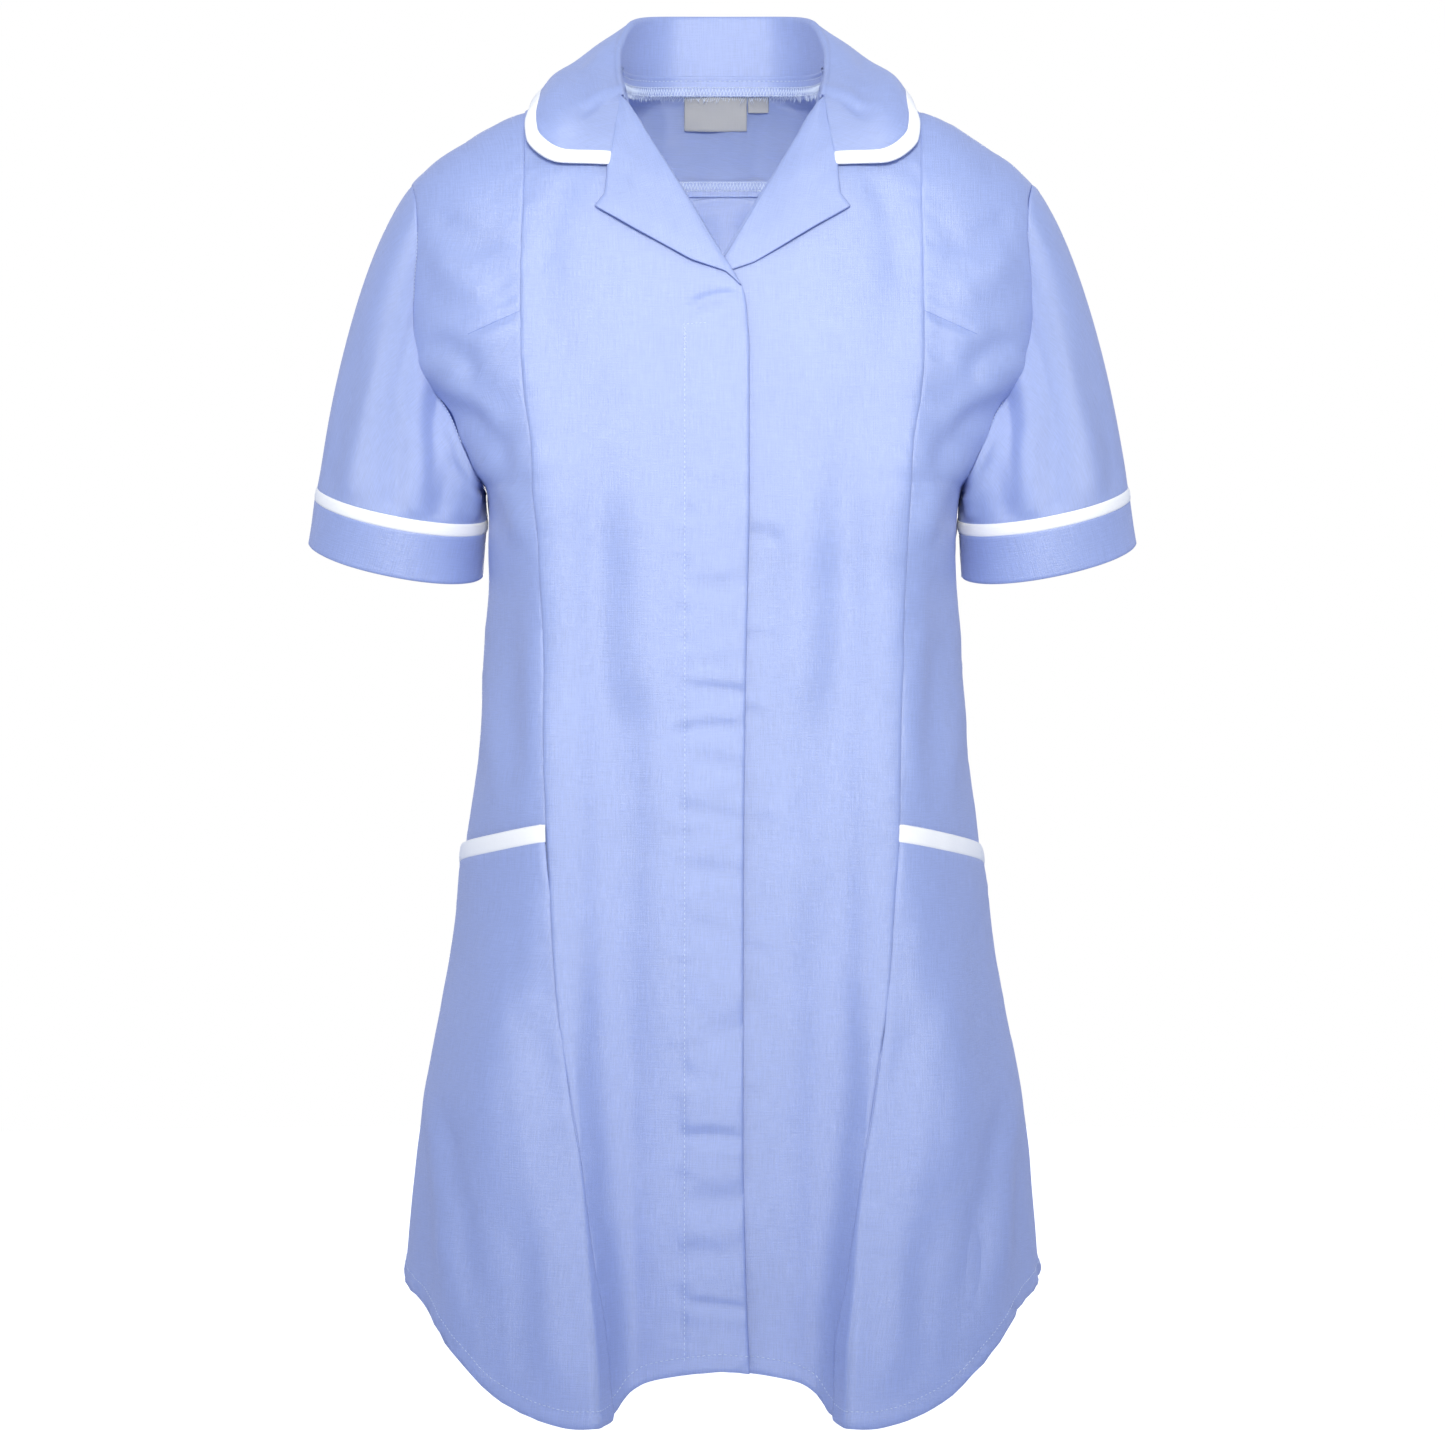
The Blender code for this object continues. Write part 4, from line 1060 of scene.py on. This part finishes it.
collarForm = table(
    "neckX neckY neckZ rollX rollY rollZ edgeX edgeY edgeZ bulge",
    (0, 64, 7, 0, 71, 53, 0, 82, -13, 4),
    (28, 59, 6.4, 28, 67, 52.5, 36, 79, -14, 4),
    (48, 45, 4.6, 47.5, 51, 50, 72, 68, -14, 5),
    (59, 25, 3, 58, 28, 44.5, 98, 45, -12.5, 6),
    (63.5, 3, 1.8, 63.5, 10, 34, 113, 10, -9, 7),
    (64.2, -12, 1.2, 66.6, -6, 21, 119.5, -20, -12, 7),
    (63, -24, -2, 66.2, -22, 7.5, 121.5, -43, -20, 6.5),
    (62, -35, -7, 65, -37.5, -1.5, 124, -56, -31, 5.5),
    (60.5, -43, -13, 63.9, -47.5, -6, 122.5, -67, -42, 5),
    (59.8, -46, -16.5, 63.2, -52, -10, 109, -79, -55.5, 4.5),
    (59.4, -47, -18.5, 62.6, -54, -12.5, 88, -86, -61.5, 4),
)
collar = {"trim": 9, "roll": 2.2, "stations": 92, "standRows": 18, "rollRows": 6, "fallRows": 30,
          "trimRows": 8, "trimLift": .1, "trimBulge": .5, "lift": .8, "waves": .8, "settleFrom": 9.3}
# A fold along the fall beside the neck: places as shares of the fall and of the collar's half length
collarFold = {"depth": 3.4, "at": .36, "width": .13, "ridge": 1.6, "ridgeAt": .66, "ridgeWidth": .17,
              "from": .36, "to": .97}


def collarLines():
    lines = {}
    for name, column in collarForm.items():
        other = -column[1] if name.endswith("X") else column[1]
        lines[name] = smoothLine(np.arange(-1, len(column)), np.append(other, column))
    return lines


def parabola(start, pull, end, shares):
    t = shares[:, None]
    return (1 - t) ** 2 * start + 2 * t * (1 - t) * pull + t * t * end


def collarSection(lines, station):
    row = {name: line(station) for name, line in lines.items()}
    neck, roll, edge = (np.array([row[part + axis] for axis in "XYZ"]) for part in ("neck", "roll", "edge"))
    away = unit(roll * (1, 1, 0))
    chord = edge - roll
    square = unit(away - chord * (away @ chord) / (chord @ chord))
    turnIn = roll - collar["roll"] * .6 * away - np.array([0, 0, collar["roll"]])
    turnOut = roll + collar["roll"] * .9 * away - np.array([0, 0, collar["roll"] * .6])
    bow = neck + .55 * (roll - neck) - .3 * away
    stand = parabola(neck, 2 * bow - (neck + turnIn) / 2, turnIn, np.linspace(0, 1, collar["standRows"]))
    over = parabola(turnIn, 2 * roll - (turnIn + turnOut) / 2, turnOut,
                    np.linspace(0, 1, collar["rollRows"] + 2)[1:-1])
    bulged = (turnOut + edge) / 2 + 2 * row["bulge"] * square
    fall = parabola(turnOut, bulged, edge, np.linspace(0, 1, collar["fallRows"]))
    return np.concatenate([stand, over, fall])


def collarRelief(whole):
    # Soft waves of the fall, and a fold along it beside the neck
    place = np.linspace(-1, 1, whole.shape[1])
    row = np.arange(len(whole))[:, None]
    pastRoll = row - collar["standRows"] - collar["rollRows"]
    waves = softNoise(place * 9 + 20, row / 16 + 5, 97)
    waves = waves * ease(pastRoll / 10) * ease(edgeDistances(whole)["bottom"] / 12)
    outward, place = pastRoll / collar["fallRows"], np.abs(place)
    beside = ease((place - collarFold["from"]) / .15) * ease((collarFold["to"] - place) / .12)
    ridge = collarFold["ridge"] * bell(outward - collarFold["ridgeAt"], collarFold["ridgeWidth"])
    fold = ridge * ease((1 - outward) / .3)
    fold = fold - collarFold["depth"] * bell(outward - collarFold["at"], collarFold["width"])
    return collar["lift"] + collar["waves"] * waves + beside * fold


def makeCollar():
    lines, fallRows, trim = collarLines(), collar["fallRows"], collar["trim"]
    lastStation = len(collarForm["bulge"]) - 1
    stations = np.linspace(0, lastStation, collar["stations"])
    points = np.array([collarSection(lines, station) for station in stations]).transpose(1, 0, 2)
    # the fall's front end settles on the gorge
    gorgeLine = lineAlong(gorge, np.linspace(0, 1, fallRows))
    target = onBody(bodyLine(gorgeLine), gorgeLine[:, 2])
    settle = ease((stations - collar["settleFrom"]) / (lastStation - collar["settleFrom"]))[:, None]
    points[-fallRows:] = points[-fallRows:] + settle * (target[:, None] - points[-fallRows:, -1:])
    points[:, 0, 0] = 0
    whole = np.concatenate([points[:, :0:-1] * flip, points], axis=1)[:, ::-1]
    whole = whole + gridWays(whole) * collarRelief(whole)[..., None]
    # the binding takes the last of the fall
    fromEdge = edgeDistances(whole)["bottom"]

    def fallAt(column, start, end, count):
        wanted, d = np.linspace(start, end, count), fromEdge[::-1, column]
        return stacked(*(np.interp(wanted, d, line) for line in whole[::-1, column].T))

    columns = range(whole.shape[1])
    fall = np.stack([fallAt(c, fromEdge[-fallRows, c], trim, fallRows) for c in columns], axis=1)
    body = np.concatenate([whole[:-fallRows], fall])
    dress("cloth_collar", body, "collar", wall=1.5)
    band = np.stack([fallAt(c, trim, 0, collar["trimRows"]) for c in columns], axis=1)
    band = raisedBand(band, collar["trimLift"], collar["trimBulge"])
    dress("binding_collar", band, "collar_trim", "whiteBinding", 2.1)


makeCollar()
print("collar made")

# Labels and the fly's inner layer
labels = table("across width foot", (-4.6, 40.5, -20), (23.6, 13, -8.5))
labelHang = {"top": 3, "inside": 1.7, "wave": .7}


def makeLabels():
    for name, across, width, foot in zip(("label_main", "label_size"), *labels.values()):
        heights, ends = np.linspace(labelHang["top"], foot, 14)[:, None], np.linspace(.5, -.5, 24)
        places = stacked(turnAt(across + ends * width, heights, True) % 360, heights)
        wave = softNoise(ends * 2 + 9, heights / 12 + 7, 101)
        grid = onBody(places, labelHang["wave"] * wave - labelHang["inside"])
        dress("woven_" + name, grid, name, "greyLabel", .6)


def makeFlyFacing():
    heights = np.linspace(closure["top"] - 1.5, closure["foot"], 160)
    far = stacked(turnAt(closure["stitchAcross"], heights), heights)
    places = between(seamPlaces(rightEdge, heights), far, np.linspace(0, 1, 14), heights)
    grid = onSide(onBody(places, -closure["facingDepth"]), -1)
    dress("cloth_fly_facing", grid, "fly_facing")


makeLabels()
makeFlyFacing()
print("labels and facing made")


# Sewing: stitches, overlocked edges and loose threads, laid along paths on the finished cloth
def buildStitchTree():
    tree = bpy.data.node_groups.new("sewnStitches", "GeometryNodeTree")
    addSockets(tree, "INPUT", Geometry="Geometry", Pitch="Float", Length="Float", Spread="Float",
               Width="Float", Lean="Float", Alternate="Float", Scatter="Float", Seed="Int",
               Material="Material")
    addSockets(tree, "OUTPUT", Geometry="Geometry")
    given = tree.nodes.new("NodeGroupInput").outputs
    times, plus = sumsOf(tree)

    def grow(kind, settings=None, **inputs):
        return addNode(tree, kind, settings, **inputs).outputs

    curve = grow("GeometryNodeMeshToCurve", i0=given["Geometry"])
    points = grow("GeometryNodeCurveToPoints", {"mode": "LENGTH"}, Curve=curve[0], Length=given["Pitch"])
    way = grow("GeometryNodeInputNamedAttribute", {"data_type": "FLOAT_VECTOR"}, Name="clothWay")
    upright = grow("FunctionNodeAlignRotationToVector", {"axis": "Z"}, Vector=way[0])
    aligned = grow("FunctionNodeAlignRotationToVector", {"axis": "X", "pivot_axis": "Z"}, Rotation=upright[0],
                   Vector=points["Tangent"])
    parity = plus(times(mathNode(tree, "MODULO", grow("GeometryNodeInputIndex")[0], 2.0), 2.0), -1.0)

    def scattered(amount, shift):
        seed = plus(given["Seed"], shift)
        dice = grow("FunctionNodeRandomValue", {"data_type": "FLOAT"}, i2=-1, i3=1, Seed=seed)
        return times(dice[1], given[amount])

    angle = plus(plus(times(parity, given["Alternate"]), given["Lean"]), scattered("Scatter", 0.0))
    turn = grow("FunctionNodeAxisAngleToRotation", Axis=(0, 0, 1), Angle=angle)
    rotation = grow("FunctionNodeRotateRotation", {"rotation_space": "LOCAL"}, i0=aligned[0], i1=turn[0])
    reach = times(times(given["Length"], plus(scattered("Spread", 7.0), 1.0)), .5)
    thickness = times(given["Width"], .5)
    size = grow("ShaderNodeCombineXYZ", i0=reach, i1=thickness, i2=thickness)
    thread = grow("GeometryNodeMeshUVSphere", Segments=6, Rings=4, Radius=1.0)
    placed = grow("GeometryNodeInstanceOnPoints", Points=points["Points"], Instance=thread["Mesh"],
                  Rotation=rotation[0], Scale=size[0])
    real = grow("GeometryNodeRealizeInstances", Geometry=placed[0])
    painted = grow("GeometryNodeSetMaterial", Geometry=real[0], Material=given["Material"])
    tree.links.new(painted[0], tree.nodes.new("NodeGroupOutput").inputs[0])
    return tree


stitchTree = buildStitchTree()
# The way that each kind of thread lies: metres, and turns in radians
plainStitch = {"Spread": .1, "Lean": 0.0, "Alternate": 0.0}
stitchKinds = {
    "topstitch": {"Pitch": .0032, "Length": .0022, "Width": .00055, "Scatter": .08},
    "tight": {"Pitch": .0024, "Length": .0017, "Width": .0005, "Scatter": .1},
    "tack": {"Pitch": .0011, "Length": .0026, "Width": .0004, "Lean": 1.0, "Alternate": .5, "Scatter": .3},
    "overlock": {"Pitch": .0011, "Length": .0062, "Width": .0005, "Lean": 1.5, "Alternate": .28,
                 "Scatter": .12},
    "overlockEdge": {"Pitch": .0016, "Length": .0019, "Width": .0006, "Alternate": .35, "Scatter": .2},
    "seamShadeLine": {"Pitch": .0012, "Length": .0021, "Spread": .3, "Width": .0004, "Scatter": .05},
    "frays": {"Pitch": .0014, "Length": .0062, "Spread": .6, "Width": .0003, "Lean": 1.55, "Scatter": .75},
}


def sew(name, kind, points, ways, seed=1, thread="paleThread"):
    # A path in mm along the cloth, with the way that its face looks
    mesh = bpy.data.meshes.new(name + "Path")
    mesh.from_pydata((np.asarray(points) * mm).tolist(), [(i, i + 1) for i in range(len(points) - 1)], [])
    layer = mesh.attributes.new("clothWay", "FLOAT_VECTOR", "POINT")
    layer.data.foreach_set("vector", np.asarray(ways, np.float32).ravel())
    path = addObject(name + "Path", mesh)
    modifier = path.modifiers.new("stitches", "NODES")
    modifier.node_group = stitchTree
    values = {**plainStitch, **stitchKinds[kind], "Seed": seed, "Material": materials[thread]}
    for socket in stitchTree.interface.items_tree:
        if socket.in_out == "INPUT" and socket.name in values:
            modifier[socket.identifier] = values[socket.name]
    bpy.context.view_layer.update()
    made = bpy.data.meshes.new_from_object(path.evaluated_get(bpy.context.evaluated_depsgraph_get()))
    bpy.data.objects.remove(path)
    made.name = name
    made.shade_smooth()
    if "clothLie" not in made.uv_layers:
        made.uv_layers.new(name="clothLie")
    sewing = addObject(name, made)
    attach(sewing, "root")


def sewOn(name, kind, grid, down, across, seed, lift=.15, drop=0, face=1):
    # Thread over fractional grid places, on the outer face (1) or the inner one (-1)
    ways = gridWays(grid)
    r, c = np.broadcast_arrays(np.asarray(down, float), np.asarray(across, float))
    r0 = np.clip(np.floor(r).astype(int), 0, grid.shape[0] - 2)
    c0 = np.clip(np.floor(c).astype(int), 0, grid.shape[1] - 2)
    fr, fc = (r - r0)[:, None], (c - c0)[:, None]

    def mix(values):
        return ((values[r0, c0] * (1 - fr) + values[r0 + 1, c0] * fr) * (1 - fc)
                + (values[r0, c0 + 1] * (1 - fr) + values[r0 + 1, c0 + 1] * fr) * fc)

    sew("stitches_" + name, kind, mix(grid) + mix(ways) * lift - (0, 0, drop), mix(ways) * face, seed)


def placeWhere(values, level):
    # For each line of rising values, the place where they reach a level
    return np.array([np.interp(level, line, np.arange(len(line))) for line in values])


def sewClosure():
    heights, top = frontRight[:, -1, 2], closure["top"]
    wanted = np.nonzero((heights < top) & (heights > closure["foot"]))[0]
    across = placeWhere(frontRight[..., 0], -closure["stitchAcross"])
    sewOn("closure", "topstitch", frontRight, wanted, across[wanted], 3)
    topRow = np.interp(-top, -heights, np.arange(len(heights)))
    line = frontRight[int(topRow), :, 0]
    acrossTop = np.interp(np.linspace(-24, -11, 8), line, np.arange(len(line)))
    sewOn("closure_top", "tight", frontRight, topRow, acrossTop, 4)
    tackRows = np.interp(-np.linspace(top - 3, top - 18, 12), -heights, np.arange(len(heights)))
    acrossTack = np.interp(tackRows, np.arange(len(across)), across)
    sewOn("closure_tack", "tack", frontRight, tackRows, acrossTack, 5, .2)


dart = {"from": np.array([124.6, -152.3]), "to": np.array([158, -166])}


def sewDarts():
    # the bust dart's seam, a thin line along the trough in the side front, coloured dark as painted shade of
    # the seam's groove
    for side, piece in ((1, sideClothLeft), (-1, sideClothRight)):
        hits = []
        for share in np.linspace(0, 1, 24):
            across, height = dart["from"] + share * (dart["to"] - dart["from"])
            hits.append(piece.ray_cast((side * across * mm, -1, height * mm), (0, 1, 0))[1:3])
        places, ways = np.array(hits).transpose(1, 0, 2)
        sew("dart_shade_line_" + sideNames[side], "seamShadeLine", places / mm, ways, 25, "seamShade")


def sewHems():
    for name, grid in (("front_right", frontRight), ("front_left", frontLeft), ("pocket_right", pocketRight),
                       ("pocket_left", pocketLeft), ("back", backGrid)):
        columns = np.arange(grid.shape[1])[1:-1]
        down = placeWhere(-edgeDistances(grid)["bottom"].T, -hem["depth"] - .8)[columns]
        sewOn("hem_" + name, "topstitch", grid, down, columns, 11)


armholeThread = {"ahead": -12, "top": -95, "foot": -235}


def sewArmholes():
    # the seam thread that shows along the front of each armhole
    for name, grid in (("right", sleeveRight), ("left", sleeveLeft)):
        columns = [c for c in range(grid.shape[1]) if grid[0, c, 1] < armholeThread["ahead"]
                   and armholeThread["foot"] < grid[0, c, 2] < armholeThread["top"]]
        columns.sort(key=lambda c: -grid[0, c, 2])
        sewOn("armhole_" + name, "tight", closedGrid(grid, True), .35, columns, 21, .1)


# The neck seam's allowance inside the back, with its overlocked and frayed edge
neckStrip = {"top": 13.5, "foot": .5, "inside": 2.2, "ends": 4.62, "columns": 150, "rows": 14,
             "wave": .35, "frill": .5, "stitchAt": 10.5, "stitchDip": .5, "sink": 1.2, "sinkFrom": 4.0}


def makeNeckStrip():
    stations = np.linspace(-neckStrip["ends"], neckStrip["ends"], neckStrip["columns"])
    heights = np.linspace(neckStrip["top"], neckStrip["foot"], neckStrip["rows"])[:, None]
    frill = neckStrip["frill"] * ease((4 - heights) / 5) * softNoise(stations * 5 + 60, 3.0, 113)
    inside = neckStrip["wave"] * softNoise(stations * 2.2 + 30, heights / 9 + 4, 111) + frill
    inside = inside + neckStrip["inside"]
    inside = inside - neckStrip["stitchDip"] * bell(heights - neckStrip["stitchAt"], 1.0)
    lines, mirrored = collarLines(), np.abs(stations)
    inside = inside - neckStrip["sink"] * ease((mirrored - neckStrip["sinkFrom"]) / .6)
    neck = stacked(lines["neckX"](mirrored) * np.sign(stations), lines["neckY"](mirrored), 0.0)
    along = np.gradient(neck, axis=0)
    grid = neck + unit(stacked(along[:, 1], -along[:, 0], 0.0)) * inside[..., None]
    grid[..., 2] = heights + lines["neckZ"](mirrored) - 7
    dress("cloth_neck_allowance", grid, wall=.7)
    columns = np.arange(neckStrip["columns"])[1:-1]
    for name, kind, height, drop, seed in (
            ("topstitch", "topstitch", neckStrip["stitchAt"], 0, 31), ("overlock", "overlock", 3.4, 0, 33),
            ("overlock_top", "overlockEdge", 6.2, 0, 35), ("overlock_foot", "overlockEdge", .8, 0, 37),
            ("frays", "frays", -.4, 1.2, 39)):
        row = np.interp(neckStrip["top"] - height, neckStrip["top"] - heights[:, 0], np.arange(len(heights)))
        sewOn("neck_" + name, kind, grid, row, columns, seed, .25, drop)


# The yoke seam's allowance, turned up inside the back
yokeStrip = {"reach": 62, "depth": 11, "foot": 1, "columns": 150, "rows": 12, "inside": 1.6, "wave": .35,
             "endsDrop": 3, "endsSink": .4, "endsAt": 83, "endsRun": 40}


def makeYokeAllowance():
    turns = 180 + np.linspace(-yokeStrip["reach"], yokeStrip["reach"], yokeStrip["columns"])
    heights = yokeFoot + np.linspace(yokeStrip["depth"], yokeStrip["foot"], yokeStrip["rows"])[:, None]
    ends = 1 - ease((yokeStrip["endsAt"] - np.abs(turns - 180)) / yokeStrip["endsRun"])
    inside = yokeStrip["inside"] + yokeStrip["wave"] * softNoise(turns / 7, heights / 8 + 11, 121)
    places = stacked(turns, heights - yokeStrip["endsDrop"] * ends)
    grid = onBody(places, -inside - yokeStrip["endsSink"] * ends)
    dress("cloth_yoke_allowance", grid, wall=.5)
    columns = np.arange(len(turns))[1:-1]
    for name, kind, row in (("overlock", "overlock", 3.5), ("overlock_top", "overlockEdge", .6),
                            ("overlock_foot", "overlockEdge", 6.5)):
        sewOn("yoke_" + name, kind, grid, row, columns, 41, -.7, face=-1)


sewClosure()
sewDarts()
sewHems()
sewArmholes()
makeNeckStrip()
makeYokeAllowance()
print("closure, hems and inner seams sewn")

# Camera, floor and light
view = {"distance": 3.2, "height": -.408, "frameHeight": .925}
camera = addObject("camera", bpy.data.cameras.new("camera"))
camera.location = (0, -view["distance"], view["height"])
camera.rotation_euler = (np.pi / 2, 0, 0)
camera.data.sensor_width = 36
camera.data.lens = 36 * view["distance"] / view["frameHeight"]
bpy.context.scene.camera = camera

studio = {"floor": -1.15, "radius": 6.0, "ambient": .58, "shade": (.87, .96, 1.25), "lit": (1, .965, .76)}


def buildStudio():
    turns = np.linspace(0, 2 * np.pi, 65)[:-1]
    points = [(studio["radius"] * np.cos(a), studio["radius"] * np.sin(a), studio["floor"]) for a in turns]
    mesh = bpy.data.meshes.new("studio_floor")
    mesh.from_pydata(points, [], [list(range(len(points)))])
    material = bpy.data.materials.new("paleFloor")
    material.use_nodes = True
    shader = material.node_tree.nodes["Principled BSDF"].inputs
    shader["Base Color"].default_value = (.93, .93, .94, 1)
    shader["Roughness"].default_value = .9
    shader["Emission Color"].default_value = (1, 1, 1, 1)
    shader["Emission Strength"].default_value = .75
    mesh.materials.append(material)
    floor = addObject("studio_floor", mesh)
    # the bright floor shows, but doesn't wash out the shading of the folds
    floor.visible_diffuse = floor.visible_glossy = False


def buildRoom():
    # white to look at, dimmer and bluer as a light
    world = bpy.data.worlds.new("softRoom")
    world.use_nodes = True
    tree = world.node_tree
    times, plus = sumsOf(tree)
    seen = tree.nodes.new("ShaderNodeLightPath").outputs["Is Camera Ray"]
    tint = addNode(tree, "ShaderNodeMix", {"data_type": "RGBA"}, Factor=seen, i6=(*studio["shade"], 1),
                   i7=(1, 1, 1, 1))
    background = tree.nodes["Background"].inputs
    tree.links.new(tint.outputs[2], background["Color"])
    tree.links.new(plus(times(seen, 1 - studio["ambient"]), studio["ambient"]), background["Strength"])
    bpy.context.scene.world = world


def areaLight(name, place, target, size, power, spread=180, colour=studio["lit"]):
    light = bpy.data.lights.new(name, "AREA")
    light.shape = "SQUARE"
    light.size = size
    light.energy = power
    light.color = colour
    light.spread = np.radians(spread)
    lamp = addObject(name, light)
    lamp.location = place
    lamp.rotation_euler = (Vector(target) - Vector(place)).to_track_quat("-Z", "Y").to_euler()


buildStudio()
buildRoom()
areaLight("key", (0, -2.6, .55), (0, 0, -.16), .6, 4.25, 44)
areaLight("inside", (0, -.02, -.3), (0, .1, -.1), .14, .18, colour=(.82, .92, 1))
areaLight("rear", (0, 3.2, -.1), (0, 0, -.4), 1.2, 4, 60)
bpy.context.scene.view_settings.view_transform = "Standard"

print("tunic dressed")
